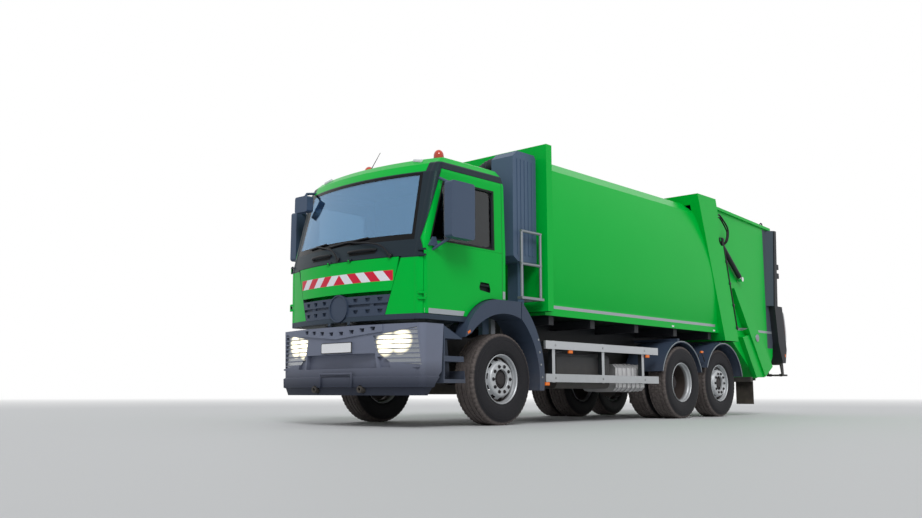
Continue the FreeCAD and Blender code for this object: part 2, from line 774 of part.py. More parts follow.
def cab_levels():
    """Height, front apex and inset of each cab section from the floor to the roof."""
    return [
        (CAB_FLOOR - 50, FRONT_APEX - 16, 0),
        (BAND_Z0, FRONT_APEX - 4, 0),
        (SCREEN_Z0, SCREEN_X0, 0),
        (SCREEN_Z1, SCREEN_X1, 14),
        (2935, 4470, 34),
        (3015, 4370, 84),
        (ROOF_Z, 4230, 190),
    ]


def cab_loft(inset, floor, roof):
    """The cab's outer or inner form, between a floor and a roof height, its sides and back planed flat."""
    wires = []
    side = []
    back = []
    for z, apex, draw in cab_levels():
        level = z
        if z < CAB_FLOOR:
            level = floor
        if z > 3000:
            level = z - roof
        wires.append(bowed_section(level, apex + draw, CAB_CROWN + 20, CAB_HALF, CAB_CORNER, CAB_REAR, inset + draw))
        side.append((CAB_HALF - inset - draw - FLAT_TRIM, level))
        back.append((CAB_REAR + inset + draw + FLAT_TRIM, level))
    corners = [V(CAB_REAR, y, z) for y, z in side + [(-y, z) for y, z in reversed(side)]]
    across = Part.Face(Part.makePolygon(corners + [corners[0]])).extrude(V(FRONT_APEX, 0, 0))
    front = [(FRONT_APEX + CAB_CROWN, z) for x, z in reversed(back)]
    along = side_prism(back + [front[0], front[-1]], -CAB_HALF, CAB_HALF)
    return Part.makeLoft(wires, True, True).common(across).common(along)


def door_outline(grow):
    return [
        (DOOR_FRONT + grow, DOOR_Z0 - grow),
        (DOOR_FRONT + grow, DOOR_BELT),
        (DOOR_TOP_FRONT + grow, DOOR_Z1 + grow),
        (DOOR_REAR - grow, DOOR_Z1 + grow),
        (DOOR_REAR - grow, DOOR_Z0 - grow),
    ]


def window_outline(grow):
    return [
        (4440 + grow, 2050 - grow),
        (4235 + grow, 2720 + grow),
        (3400 - grow, 2720 + grow),
        (3400 - grow, 2050 - grow),
    ]


def screen_cutter():
    """The windscreen's opening, wide at the bottom."""
    corners = [(-1010, SCREEN_Z0), (1010, SCREEN_Z0), (960, SCREEN_Z1), (-960, SCREEN_Z1)]
    points = [V(4200, y, z) for y, z in corners]
    return Part.Face(Part.makePolygon(points + [points[0]])).extrude(V(800, 0, 0))


def panel_half(z):
    """Half the width of the flared front panels at a height."""
    return PANEL_HALF + (z - CAB_FLOOR) * PANEL_FLARE


def panel_outline(z0, z1, gap):
    """The flared outline that grille and flap share, between two heights."""
    low = panel_half(z0) + gap
    high = panel_half(z1) + gap
    return [(-low, z0), (low, z0), (high, z1), (-high, z1)]


def flap_outline():
    """The flap's outline, drawn in at its top corners so that it swings clear of the flared opening."""
    top = BAND_Z0 - PANEL_GAP
    knee = BAND_Z0 - FLAP_KNEE
    right = [(panel_half(FLAP_Z0), FLAP_Z0), (panel_half(knee) - 4, knee), (panel_half(top) - FLAP_DRAW, top)]
    return right + [(-y, z) for y, z in reversed(right)]


def grille():
    """Two perforated slats before a closed back, with a plain round boss in the middle."""
    slats = front_skin(GRILLE_DEEP + 14)
    outline = front_prism(panel_outline(GRILLE_Z0, GRILLE_Z1, 0), 4500, 4900)
    front = front_skin(GRILLE_DEEP)
    slot = front.common(box(4500, 4900, -1000, 1000, SLAT_GAP_Z0, SLAT_GAP_Z1))
    whole = slats.common(outline).cut(slot)
    rows = ((SLAT_GAP_Z1 + GRILLE_Z1) / 2, (GRILLE_Z0 + SLAT_GAP_Z0) / 2)
    for z in rows:
        for y in PORT_SPOTS:
            hole = port(y, z).common(front)
            whole = whole.cut(hole).cut(mirrored(hole))
    boss = rod(BADGE_R, (FRONT_APEX - 60, 0, BADGE_Z), (FRONT_APEX + 4, 0, BADGE_Z))
    dish = rod(BADGE_R - 14, (FRONT_APEX - 8, 0, BADGE_Z), (FRONT_APEX + 5, 0, BADGE_Z))
    feet = [box(4510, 4720, y - 30, y + 30, GRILLE_Z0 + 30, GRILLE_Z1 - 20) for y in (-500, 500)]
    return fused([whole, boss] + feet).cut(dish)


def front_skin(thick):
    """The cab's outer layer without its floor."""
    return cab_loft(0, CAB_FLOOR - 50, 0).cut(cab_loft(thick, CAB_FLOOR - 60, thick))


def cab_walls(thick):
    outer = cab_loft(0, CAB_FLOOR - 50, 0)
    inner = cab_loft(thick, CAB_FLOOR, thick)
    return outer.cut(inner)


def save_cab():
    walls = cab_walls(CAB_WALL)
    cut_doors = [side_prism(door_outline(PANEL_GAP), DOOR_IN - PANEL_GAP, DOOR_OUT)]
    cut_doors.append(mirrored(cut_doors[0]))
    flap_gap = front_prism(panel_outline(CAB_FLOOR, BAND_Z0, PANEL_GAP), 4400, 4900)
    arches = [wing_cutter(WING_SEAT, 780, 1200)]
    arches.append(mirrored(arches[0]))
    shell = walls
    boss_gap = rod(BADGE_R + PANEL_GAP, (FRONT_APEX - 80, 0, BADGE_Z), (FRONT_APEX + 10, 0, BADGE_Z))
    for cutter in cut_doors + arches + [flap_gap, boss_gap, screen_cutter()]:
        shell = shell.cut(cutter)
    arch_out = CAB_HALF - CAB_WALL - MOVE_GAP
    inner_arch = wing_cutter(WING_SEAT + 30, 750, arch_out)
    inner_arch = inner_arch.cut(wing_cutter(WING_SEAT, 780, 1200))
    inner_arch = inner_arch.common(box(CAB_REAR + 20, 4100, 750, arch_out, CAB_FLOOR - 20, 1600))
    bulkhead = box(4470, 4510, -1010, 1010, CAB_FLOOR - 5, SCREEN_Z0 - 60)
    shell = fused([shell, bulkhead, inner_arch, mirrored(inner_arch)] + cab_tilt_lugs() + flap_lugs())
    for z in DOOR_HINGE_HEIGHTS:
        left = door_hinge_fixed(z)
        shell = fused([shell, left, mirrored(left)])
    save("cab_shell", shell)

    glass = cab_walls(GLASS_T + 10)
    save("windscreen", glass.common(screen_cutter()))

    flap = front_skin(FLAP_T).common(front_prism(flap_outline(), 4500, 4900))
    save("front_flap", fused([flap] + flap_eyes()))
    save("grille", grille())

    door = walls.common(side_prism(door_outline(0), DOOR_IN, DOOR_OUT))
    door = door.cut(side_prism(window_outline(0), DOOR_IN - PANEL_GAP, DOOR_OUT))
    door = door.cut(wing_cutter(2 * PANEL_GAP, DOOR_IN - PANEL_GAP, DOOR_OUT))
    door = fused([door] + [door_hinge_moving(z) for z in DOOR_HINGE_HEIGHTS])
    for z in DOOR_HINGE_HEIGHTS:
        door = door.cut(rod(DOOR_PIN_R + RUN_FIT, (DOOR_HINGE_X, DOOR_HINGE_Y, z - 1), (DOOR_HINGE_X, DOOR_HINGE_Y, z + 41)))
    door = fused([door.cut(handle_recess()), door_handle()])
    save("door_left", door)
    save("door_right", mirrored(door))
    pane = cab_walls(40).cut(cab_walls(40 - GLASS_T)).common(side_prism(window_outline(0), DOOR_IN - PANEL_GAP, DOOR_OUT))
    save("door_glass_left", pane)
    save("door_glass_right", mirrored(pane))

    save("cab_wings", cab_wings())


def handle_recess():
    """The hollow behind the door handle, as a cutter."""
    outline = [(3462, 1520), (3640, 1540), (3652, 1575), (3630, 1636), (3480, 1630), (3455, 1560)]
    return side_prism(outline, CAB_HALF - 34, DOOR_OUT)


def door_handle():
    """A flat pull bar across the recess."""
    return side_prism([(3445, 1586), (3660, 1592), (3660, 1612), (3445, 1612)], CAB_HALF - 14, CAB_HALF - 4)


def door_hinge_moving(z):
    """The door's half of a hinge, with its bore cut later."""
    eye = rod(DOOR_EYE_R, (DOOR_HINGE_X, DOOR_HINGE_Y, z), (DOOR_HINGE_X, DOOR_HINGE_Y, z + 40))
    x = DOOR_HINGE_X
    y = DOOR_HINGE_Y
    web = plan_prism([(x, y + DOOR_EYE_R), (x - 36, y - 10), (x - 36, y - 28), (x - 12, y - 28), (x, y - 12)], z, z + 40)
    return eye.fuse(web)


def door_hinge_fixed(z):
    """The pillar's half of a hinge with its pin."""
    x = DOOR_HINGE_X
    y = DOOR_HINGE_Y
    pieces = [rod(DOOR_PIN_R, (x, y, z - 22), (x, y, z + 62))]
    for z0 in (z - 22, z + 41):
        pieces.append(rod(DOOR_EYE_R, (x, y, z0), (x, y, z0 + 21)))
        web = plan_prism([(x, y + DOOR_EYE_R), (x + 44, y - 52), (x + 34, y - 76), (x + 4, y - 42), (x, y - 12)],
                         z0, z0 + 21)
        pieces.append(web)
    return fused(pieces)


def cab_tilt_lugs():
    """Lugs under the cab's front edge, bored for the tilt pins."""
    x = CAB_TILT_X
    z = CAB_TILT_Z
    lugs = []
    for y in (-190, 150):
        eye = rod(CAB_TILT_R, (x, y, z), (x, y + 40, z))
        web = box(x - CAB_TILT_R, x + 10, y, y + 40, z, CAB_FLOOR - 40)
        bore = rod(CAB_TILT_PIN + RUN_FIT, (x, y - 1, z), (x, y + 41, z))
        lugs.append(eye.fuse(web).cut(bore))
    return lugs


def tow_sockets():
    """Towing sockets under the front of the rails, open to the front below the bumper's face."""
    y = RAIL_Y + RAIL_W / 2
    half = RAIL_W / 2 - RAIL_WALL
    hanger = side_prism([(FRAME_FRONT - 260, RAIL_Z0), (FRAME_FRONT - 40, RAIL_Z0), (FRAME_FRONT + 60, TOW_Z - 10),
                         (FRAME_FRONT - 60, TOW_Z - 10)], y - half, y + half)
    flange = box(FRAME_FRONT - 280, FRAME_FRONT - 20, RAIL_Y + RAIL_WALL, RAIL_Y + RAIL_W, RAIL_Z0 - 14, RAIL_Z0)
    tube = rod(TOW_R + TOW_WALL, (FRAME_FRONT - 80, y, TOW_Z), (TOW_X, y, TOW_Z))
    lug = fused([hanger, flange, tube]).cut(rod(TOW_R, (TOW_X - TOW_DEEP, y, TOW_Z), (TOW_X + 1, y, TOW_Z)))
    return Part.makeCompound([lug, mirrored(lug)])


def cab_tilt_brackets():
    """Frame brackets that carry the tilt pins inside the bumper."""
    x = CAB_TILT_X
    z = CAB_TILT_Z
    pieces = []
    for y in (-220, 196):
        eye = rod(CAB_TILT_R, (x, y, z), (x, y + 24, z))
        plate = side_prism([(FRAME_FRONT - 50, RAIL_Z1 - 90), (x - 190, RAIL_Z1 - 10), (x - 100, z - 48),
                            (x + 4, z - CAB_TILT_R + 1), (x, z + CAB_TILT_R),
                            (FRAME_FRONT - 50, RAIL_Z1 + 10)], y, y + 24)
        pieces += [eye, plate]
    pieces.append(rod(CAB_TILT_PIN, (x, -200, z), (x, -146, z)))
    pieces.append(rod(CAB_TILT_PIN, (x, 146, z), (x, 200, z)))
    return pieces


def flap_eyes():
    """Small hinge eyes on the flap's top edge."""
    x = FLAP_HINGE_X
    z = BAND_Z0
    eyes = []
    for y in (-190, 170):
        web = side_prism([(x - 26, z - 24), (x - 4, z - 20), (x + FLAP_EYE_R, z), (x - FLAP_EYE_R, z),
                          (x - 26, z - 12)], y, y + 20)
        eye = rod(FLAP_EYE_R, (x, y, z), (x, y + 20, z)).fuse(web)
        eyes.append(eye.cut(rod(FLAP_PIN_R + RUN_FIT, (x, y - 1, z), (x, y + 21, z))))
    return eyes


def flap_lugs():
    """The band's hinge lugs and pins for the flap."""
    x = FLAP_HINGE_X
    z = BAND_Z0
    lugs = []
    for y in (-212, -168, 148, 192):
        web = side_prism([(x - 30, z + 26), (x - 6, z + 20), (x + FLAP_EYE_R, z), (x - FLAP_EYE_R, z), (x - 30, z + 10)],
                         y, y + 20)
        lugs.append(rod(FLAP_EYE_R, (x, y, z), (x, y + 20, z)).fuse(web))
    for y in (-200, 160):
        lugs.append(rod(FLAP_PIN_R, (x, y, z), (x, y + 40, z)))
    return lugs


def door_mirror():
    """A tall mirror head on two arms from the door's front edge."""
    head = box(4020, 4400, 1300, 1410, 2040, 2670)
    head = head.makeFillet(34, [e for e in head.Edges if abs(e.tangentAt(e.FirstParameter).y) > 0.9])
    low = rod(16, (4440, 1110, 1900), (4300, 1340, 2070))
    high = rod(16, (4300, 1100, 2760), (4300, 1340, 2640))
    foot = side_prism([(4360, 1960), (4500, 1960), (4440, 2060), (4400, 2060)], CAB_HALF - 10, CAB_HALF + 26)
    return fused([head, low, high, foot]).cut(cab_loft(0, CAB_FLOOR - 50, 0))


def front_mirror():
    """The front view mirror on its horn-shaped arm at the windscreen's right upper corner."""
    post = rod(16, (4270, -960, 2880), (4470, -1010, 2850))
    drop = rod(16, (4470, -1010, 2850), (4530, -1010, 2760))
    bend = Part.makeSphere(16, V(4470, -1010, 2850))
    head = box(4470, 4570, -1120, -880, 2600, 2800)
    head = head.makeFillet(26, [e for e in head.Edges if abs(e.tangentAt(e.FirstParameter).x) > 0.9])
    return fused([post, drop, bend, head]).cut(cab_loft(0, CAB_FLOOR - 50, 0))


def beacons():
    pieces = []
    for y in (620, -620):
        foot = rod(60, (3780, y, ROOF_Z), (3780, y, ROOF_Z + 40))
        dome = rod(50, (3780, y, ROOF_Z + 40), (3780, y, ROOF_Z + 150))
        pieces.append(fused([foot, dome]))
    return Part.makeCompound(pieces)


def seats():
    pieces = []
    for y0 in (260, -780):
        base = box(3560, 4060, y0 + 60, y0 + 460, CAB_FLOOR, CAB_FLOOR + 260)
        cushion = box(3520, 4100, y0, y0 + 520, CAB_FLOOR + 260, CAB_FLOOR + 400)
        back = side_prism([(3560, 1600), (3660, 1600), (3480, 2420), (3380, 2420)], y0, y0 + 520)
        pieces.append(fused([base, cushion, back]))
    return Part.makeCompound(pieces)


def dashboard():
    shelf = side_prism([(4470, 1500), (4470, 1960), (4330, 1980), (4200, 1900), (4230, 1500)], -1020, 1020)
    return shelf


def steering_wheel():
    centre = V(4080, 520, 2010)
    axis = V(-0.45, 0, 0.89)
    ring = Part.makeCylinder(225, 24, centre, axis).cut(Part.makeCylinder(198, 24, centre, axis))
    hub = Part.makeCylinder(45, 24, centre, axis)
    bar = Part.makeBox(410, 40, 18)
    bar.translate(V(-205, -20, 3))
    bar.Placement = FreeCAD.Placement(centre, FreeCAD.Rotation(V(0, 0, 1), axis)).multiply(bar.Placement)
    column = rod(24, (4080, 520, 2010), (4235, 520, 1700))
    return fused([ring, hub, bar, column])


# Behind the cab

def air_stack():
    """The tall air intake behind the cab on the left, with its clean end low down."""
    outline = [(2990, 2020), (2990, 3260), (2900, 3340), (2560, 3340), (2530, 3290), (2530, 1960), (2900, 1960)]
    box_part = side_prism(outline, 780, 1120)
    pipe = box(2640, 2760, 840, 1000, RAIL_Z1 + 400, 1965)
    foot = box(2640, 2760, RAIL_Y + RAIL_W - 4, 1000, RAIL_Z1 + 280, RAIL_Z1 + 400)
    post = box(2640, 2760, RAIL_Y + 4, RAIL_Y + RAIL_W - 4, RAIL_Z1, RAIL_Z1 + 400)
    ribs = [box(x, x + 22, 1116, 1128, 2040, 3240) for x in range(2600, 2960, 72)]
    return fused([box_part, pipe, foot, post] + ribs)


def handrail():
    """A tubular guard frame beside the gap behind the cab."""
    tube = 17
    y = 1200
    runs = [((2560, y, 1500), (2560, y, 2320)), ((2930, y, 1500), (2930, y, 2320)),
            ((2545, y, 2320), (2945, y, 2320)), ((2545, y, 1920), (2945, y, 1920))]
    pieces = [rod(tube, a, b) for a, b in runs]
    floor = box(2520, 2600, RAIL_Y + RAIL_W, 1225, 1490, 1520)
    strip = box(2520, 2955, 1150, 1225, 1490, 1520)
    leg = box(2520, 2600, RAIL_Y, RAIL_Y + RAIL_W, RAIL_Z1, 1520)
    return fused(pieces + [floor, strip, leg])


# Body

def body_section(x, inset):
    """A cross section of the load body, barrel sided."""
    y0 = 1160 - inset
    y1 = 1238 - inset
    y2 = 1120 - inset
    y3 = 940 - inset
    z0 = BODY_FLOOR + inset
    z1 = 1480
    z2 = 2400
    z3 = 3215
    z4 = BODY_TOP - inset
    side_l = Part.Arc(V(x, y0, z1), V(x, y1, z2), V(x, y2, z3)).toShape()
    side_r = Part.Arc(V(x, -y2, z3), V(x, -y1, z2), V(x, -y0, z1)).toShape()
    edges = [
        Part.makeLine(V(x, -y0, z0), V(x, y0, z0)),
        Part.makeLine(V(x, y0, z0), V(x, y0, z1)),
        side_l,
        Part.makeLine(V(x, y2, z3), V(x, y3, z4)),
        Part.makeLine(V(x, y3, z4), V(x, -y3, z4)),
        Part.makeLine(V(x, -y3, z4), V(x, -y2, z3)),
        side_r,
        Part.makeLine(V(x, -y0, z1), V(x, -y0, z0)),
    ]
    return Part.Face(Part.Wire(edges))


def ring_x(z):
    """The slanted rear face of the body at a height."""
    slope = (RING_TOP_X - RING_BOTTOM_X) / (RING_TOP - RING_BOTTOM)
    return RING_TOP_X - (RING_TOP - z) * slope


def ring_front(z):
    """The slanted front face of the rear frame at a height."""
    slope = (RING_FRONT_TOP - RING_FRONT_BOTTOM) / (RING_TOP - RING_BOTTOM)
    return RING_FRONT_TOP - (RING_TOP - z) * slope


def load_body():
    """The hollow load body with its front posts and slanted rear frame."""
    length = BODY_FRONT - RING_BOTTOM_X
    outer = body_section(RING_BOTTOM_X, 0).extrude(V(length, 0, 0))
    inner = body_section(RING_BOTTOM_X - 1, BODY_WALL).extrude(V(length - BODY_WALL, 0, 0))
    band = [(ring_x(RING_BOTTOM), RING_BOTTOM), (ring_x(RING_TOP), RING_TOP),
            (RING_FRONT_TOP, RING_TOP), (RING_FRONT_BOTTOM, RING_BOTTOM)]
    ring = side_prism(band, -BODY_HALF, BODY_HALF)
    beyond = side_prism([(ring_x(1000), 1000), (ring_x(3800), 3800), (-4000, 3800), (-4000, 1000)], -1400, 1400)
    head = box(BODY_FRONT - POST_D / 2, BODY_FRONT + POST_D / 2, -BODY_HALF, BODY_HALF, BODY_FLOOR + 40, POST_TOP)
    whole = fused([outer, ring, head])
    inner = inner.cut(side_prism([(x - 1, z) for x, z in band[:2]] + [(x, z) for x, z in band[2:]], -1300, 1300))
    z0 = BODY_FLOOR + BODY_WALL
    z1 = BODY_TOP - BODY_WALL
    mouth = side_prism([(ring_x(z0) - 60, z0), (ring_x(z1) - 60, z1), (ring_front(z1) + 120, z1),
                        (ring_front(z0) + 120, z0)], -RING_MOUTH, RING_MOUTH)
    whole = whole.cut(inner)
    whole = whole.cut(mouth)
    whole = whole.cut(beyond)
    notch = rod(BARREL_R + 62, (LIFT_A[0], GATE_HALF + 5, LIFT_A[1]), (LIFT_A[0], BODY_HALF + 1, LIFT_A[1]))
    pin = rod(LIFT_PIN_R, (LIFT_A[0], GATE_HALF + 3, LIFT_A[1]), (LIFT_A[0], LIFT_Y + 44, LIFT_A[1]))
    for cutter in (notch, mirrored(notch)):
        whole = whole.cut(cutter)
    pieces = [whole, pin, mirrored(pin)]
    for y in (-900, -420, 420, 900):
        pieces.append(hinge_lug(y - 25, y + 5, RING_TOP))
    whole = fused(pieces)
    for y in (-900, -420, 420, 900):
        whole = fused([whole, rod(GATE_PIN_R, (GATE_HINGE_X, y, GATE_HINGE_Z), (GATE_HINGE_X, y + 45, GATE_HINGE_Z))])
    return whole


def hinge_lug(y0, y1, seat):
    """A fixed plate from the top of the rear frame to the tailgate's pivot."""
    disc = rod(GATE_LUG_R, (GATE_HINGE_X, y0, GATE_HINGE_Z), (GATE_HINGE_X, y1, GATE_HINGE_Z))
    web = side_prism([(GATE_HINGE_X, GATE_HINGE_Z + GATE_LUG_R), (GATE_HINGE_X, GATE_HINGE_Z - GATE_LUG_R / 2),
                      (RING_TOP_X - 1, seat - 6), (RING_TOP_X + 180, seat - 6)], y0, y1)
    return disc.fuse(web)


def gate_x(z):
    return ring_x(z) - MOVE_GAP - 1


# Tailgate

def gate_outline():
    return [
        (gate_x(GATE_ROOF_F), GATE_ROOF_F), (GATE_REAR, GATE_ROOF_R), (-4205, 1900),
        (SILL_X, SILL_Z), (-4255, 1010), (-4140, 835), (-3850, 690), (-3550, 622),
        (gate_x(RING_BOTTOM), RING_BOTTOM),
    ]


def gate_inside():
    w = GATE_WALL
    return [
        (gate_x(GATE_ROOF_F - w) + 60, GATE_ROOF_F - w), (GATE_REAR + w, GATE_ROOF_R - w), (-4205 + w, 1900),
        (SILL_X + w, SILL_Z), (-4255 + w, 1022), (-4115, 870), (-3840, 733), (-3560, 668),
        (gate_x(RING_BOTTOM) - 10, RING_BOTTOM + 56), (gate_x(RING_BOTTOM) + 60, RING_BOTTOM + 56),
    ]


def tailgate():
    """The hollow tailgate and hopper, open to the body in front and to the loader behind."""
    inner_half = GATE_HALF - GATE_WALL
    shell = side_prism(gate_outline(), -GATE_HALF, GATE_HALF)
    shell = shell.cut(side_prism(gate_inside(), -inner_half, inner_half))
    front = [(gate_x(3700), 3700), (gate_x(1000), 1000), (-1500, 1000), (-1500, 3700)]
    shell = shell.cut(side_prism(front, -1300, 1300))
    shell = shell.cut(box(-4420, -4120, -1000, 1000, SILL_Z + 40, 2450))
    pieces = [shell]
    beam = side_prism([(-2640, 2085), (-2906, 2085), (-4000, 826), (-3690, 650)], GATE_HALF - 5, BODY_HALF)
    boss = rod(58, (LIFT_B[0], GATE_HALF - 5, LIFT_B[1]), (LIFT_B[0], GATE_HALF + 6, LIFT_B[1]))
    brace = side_prism([(-2943, 1294), (-3173, 1338), (-3720, 640), (-3400, 640)], GATE_HALF - 5, BODY_HALF - 30)
    pieces += [beam, mirrored(beam), boss, mirrored(boss), brace, mirrored(brace)]
    for part in gate_trim():
        pieces += [part, mirrored(part)]
    pieces += guide_rails()
    for y in (-900, -420, 420, 900):
        lug = gate_lug(y + 13, y + 41)
        pieces.append(lug)
    for side in (-1, 1):
        y0 = side * LIFTER_Y
        pieces.append(lifter_lug(y0 - 16, y0 + 16))
    return fused(pieces)


def gate_trim():
    """The roof's overhanging edge and the side's fold out to the rear post."""
    slope = (GATE_ROOF_F - GATE_ROOF_R) / (gate_x(GATE_ROOF_F) - GATE_REAR)
    front = gate_x(GATE_ROOF_F) - 60
    start = GATE_ROOF_F - 60 * slope
    edge = side_prism([(front, start), (GATE_REAR, GATE_ROOF_R), (GATE_REAR, GATE_ROOF_R - EDGE_DROP),
                       (front, start - EDGE_DROP)], GATE_HALF - 5, GATE_HALF + EDGE_OUT)
    wide = [(-4336, 3270), (-4206, 1902), (-4080, 1902), (-4206, 3270)]
    slim = [(-4336, 3270), (-4206, 1902), (-4190, 1902), (-4320, 3270)]
    wires = []
    for outline, y in ((wide, GATE_HALF - 5), (slim, FOLD_OUT)):
        corners = [V(x, y, z) for x, z in outline]
        wires.append(Part.makePolygon(corners + corners[:1]))
    return [edge, Part.makeLoft(wires, True, True)]


def gate_lug(y0, y1):
    """A swinging plate on the tailgate's roof, bored for the pivot pin."""
    disc = rod(GATE_LUG_R, (GATE_HINGE_X, y0, GATE_HINGE_Z), (GATE_HINGE_X, y1, GATE_HINGE_Z))
    x = GATE_HINGE_X
    z = GATE_HINGE_Z
    web = side_prism([(x, z + GATE_LUG_R), (x + 20, z - 26), (x + 8, GATE_ROOF_F - 12),
                      (x - 210, GATE_ROOF_F - 20)], y0, y1)
    bore = rod(GATE_PIN_R + RUN_FIT, (x, y0 - 1, z), (x, y1 + 1, z))
    return disc.fuse(web).cut(bore)


def lifter_lug(y0, y1):
    plate = side_prism([(SILL_X + 20, 1170), (SILL_X + 20, 1290), (LIFTER_X, LIFTER_Z + 34),
                        (LIFTER_X - 34, LIFTER_Z), (LIFTER_X, LIFTER_Z - 34)], y0, y1)
    bore = rod(20 + RUN_FIT, (LIFTER_X, y0 - 1, LIFTER_Z), (LIFTER_X, y1 + 1, LIFTER_Z))
    return plate.cut(bore)


def along_slide(x, z, down, back):
    """A point moved down along the slide and square to it towards the rear."""
    lean = math.atan(SLIDE_LEAN)
    px = x - down * math.sin(lean) - back * math.cos(lean)
    pz = z - down * math.cos(lean) + back * math.sin(lean)
    return (px, pz)


def slide_bar(start, stop, front, back, y0, y1):
    """A straight bar laid along the slide direction, from the carriage's pivot line."""
    corners = [along_slide(CARRIAGE_X, CARRIAGE_Z, start, front), along_slide(CARRIAGE_X, CARRIAGE_Z, stop, front),
               along_slide(CARRIAGE_X, CARRIAGE_Z, stop, back), along_slide(CARRIAGE_X, CARRIAGE_Z, start, back)]
    return side_prism(corners, y0, y1)


def guide_rails():
    half = CARRIAGE_T / 2 + SEAT_GAP
    wall = GATE_HALF - GATE_WALL
    rails = []
    for front, back in ((-half - 40, -half), (half, half + 40)):
        bar = slide_bar(-CARRIAGE_LONG - 40, 690, front, back, wall - 45, wall + 5)
        rails += [bar, mirrored(bar)]
    return rails


def packer_carriage():
    """The plate that slides on the tailgate's guides, with the blade's bearings at its foot."""
    half = CARRIAGE_T / 2
    wall = GATE_HALF - GATE_WALL
    plate = slide_bar(-CARRIAGE_LONG, -70, -half, half, -PACK_HALF + 40, PACK_HALF - 40)
    shoes = slide_bar(-CARRIAGE_LONG, -110, -half, half, -wall + 5, wall - 5)
    pieces = [plate, shoes]
    for y in (-800, 0, 800):
        lug = slide_bar(-90, 0, -half, half, y - 30, y + 30)
        eye = rod(45, (CARRIAGE_X, y - 30, CARRIAGE_Z), (CARRIAGE_X, y + 30, CARRIAGE_Z))
        pieces += [lug, eye]
    whole = fused(pieces)
    return whole.cut(rod(22 + RUN_FIT, (CARRIAGE_X, -900, CARRIAGE_Z), (CARRIAGE_X, 900, CARRIAGE_Z)))


def packer_blade():
    """The curved blade that swings on the carriage."""
    pivot = V(CARRIAGE_X, 0, CARRIAGE_Z)
    tail = -BLADE_LONG
    points = [(CARRIAGE_X - 25, CARRIAGE_Z - 58), (CARRIAGE_X + 25, CARRIAGE_Z - 58),
              (CARRIAGE_X + 50, CARRIAGE_Z + tail + 60), (CARRIAGE_X + 90, CARRIAGE_Z + tail + 5),
              (CARRIAGE_X + 20, CARRIAGE_Z + tail + 5), (CARRIAGE_X - 30, CARRIAGE_Z + tail + 120)]
    pieces = [side_prism(points, -PACK_HALF + 10, PACK_HALF - 10)]
    pin = rod(22, (CARRIAGE_X, -836, CARRIAGE_Z), (CARRIAGE_X, 836, CARRIAGE_Z))
    pieces.append(pin)
    for y0, y1 in ((-865, -836), (-764, -700), (-100, -36), (36, 100), (700, 764), (836, 865)):
        ear = box(CARRIAGE_X - 40, CARRIAGE_X + 40, y0, y1, CARRIAGE_Z - 70, CARRIAGE_Z)
        eye = rod(40, (CARRIAGE_X, y0, CARRIAGE_Z), (CARRIAGE_X, y1, CARRIAGE_Z))
        pieces += [ear, eye]
    whole = fused(pieces)
    whole.rotate(pivot, V(0, 1, 0), BLADE_REST)
    return whole


def lift_point(distance):
    """A point on the closed cylinder's axis, from its upper pivot."""
    dx = LIFT_B[0] - LIFT_A[0]
    dz = LIFT_B[1] - LIFT_A[1]
    length = math.hypot(dx, dz)
    return (LIFT_A[0] + dx / length * distance, LIFT_Y, LIFT_A[1] + dz / length * distance)


def lift_length():
    return math.hypot(LIFT_B[0] - LIFT_A[0], LIFT_B[1] - LIFT_A[1])


def lift_barrel():
    """The cylinder barrel with its eye on the body pin, bored for the rod."""
    eye = rod(BARREL_R, (LIFT_A[0], LIFT_Y - 36, LIFT_A[1]), (LIFT_A[0], LIFT_Y + 36, LIFT_A[1]))
    tube = rod(BARREL_R, lift_point(30), lift_point(lift_length() - 66))
    whole = fused([eye, tube])
    whole = whole.cut(rod(LIFT_PIN_R + RUN_FIT, (LIFT_A[0], LIFT_Y - 60, LIFT_A[1]), (LIFT_A[0], LIFT_Y + 60, LIFT_A[1])))
    return whole.cut(rod(ROD_R + RUN_FIT, lift_point(60), lift_point(lift_length())))


def lift_rod():
    """The piston rod with its eye beside the tailgate boss."""
    shaft = rod(ROD_R, lift_point(68), lift_point(lift_length() - 10))
    eye = rod(38, (LIFT_B[0], LIFT_Y - 36, LIFT_B[1]), (LIFT_B[0], LIFT_Y + 36, LIFT_B[1]))
    return fused([shaft, eye])


def tail_lamps():
    """Rear corner posts with the lamp and control housings."""
    post = side_prism([(-4336, 3270), (-4420, 3270), (-4330, 1900), (-4206, 1902)], 1010, BODY_HALF)
    block = side_prism([(-4206, 1902), (-4514, 1902), (-4630, 1140), (-4560, 900), (-4440, 900), (-4302, 1248)],
                       1010, BODY_HALF)
    return pair(fused([post, block]))


def bin_lifter():
    """The comb lifter on its pivots below the sill."""
    x = LIFTER_X
    tube = rod(30, (x, -LIFTER_Y + 24, LIFTER_Z), (x, LIFTER_Y - 24, LIFTER_Z))
    pin = rod(20, (x, -LIFTER_Y - 16, LIFTER_Z), (x, LIFTER_Y + 16, LIFTER_Z))
    pieces = [tube, pin]
    for y in (-600, -200, 200, 600):
        arm = box(x - 60, x - 5, y - 25, y + 25, 620, LIFTER_Z)
        pieces.append(arm)
    comb = box(x - 90, x - 60, -700, 700, 1000, 1130)
    foot = box(x - 90, x - 60, -700, 700, 600, 700)
    lip = box(x - 150, x - 60, -640, 640, 600, 625)
    return fused(pieces + [comb, foot, lip])


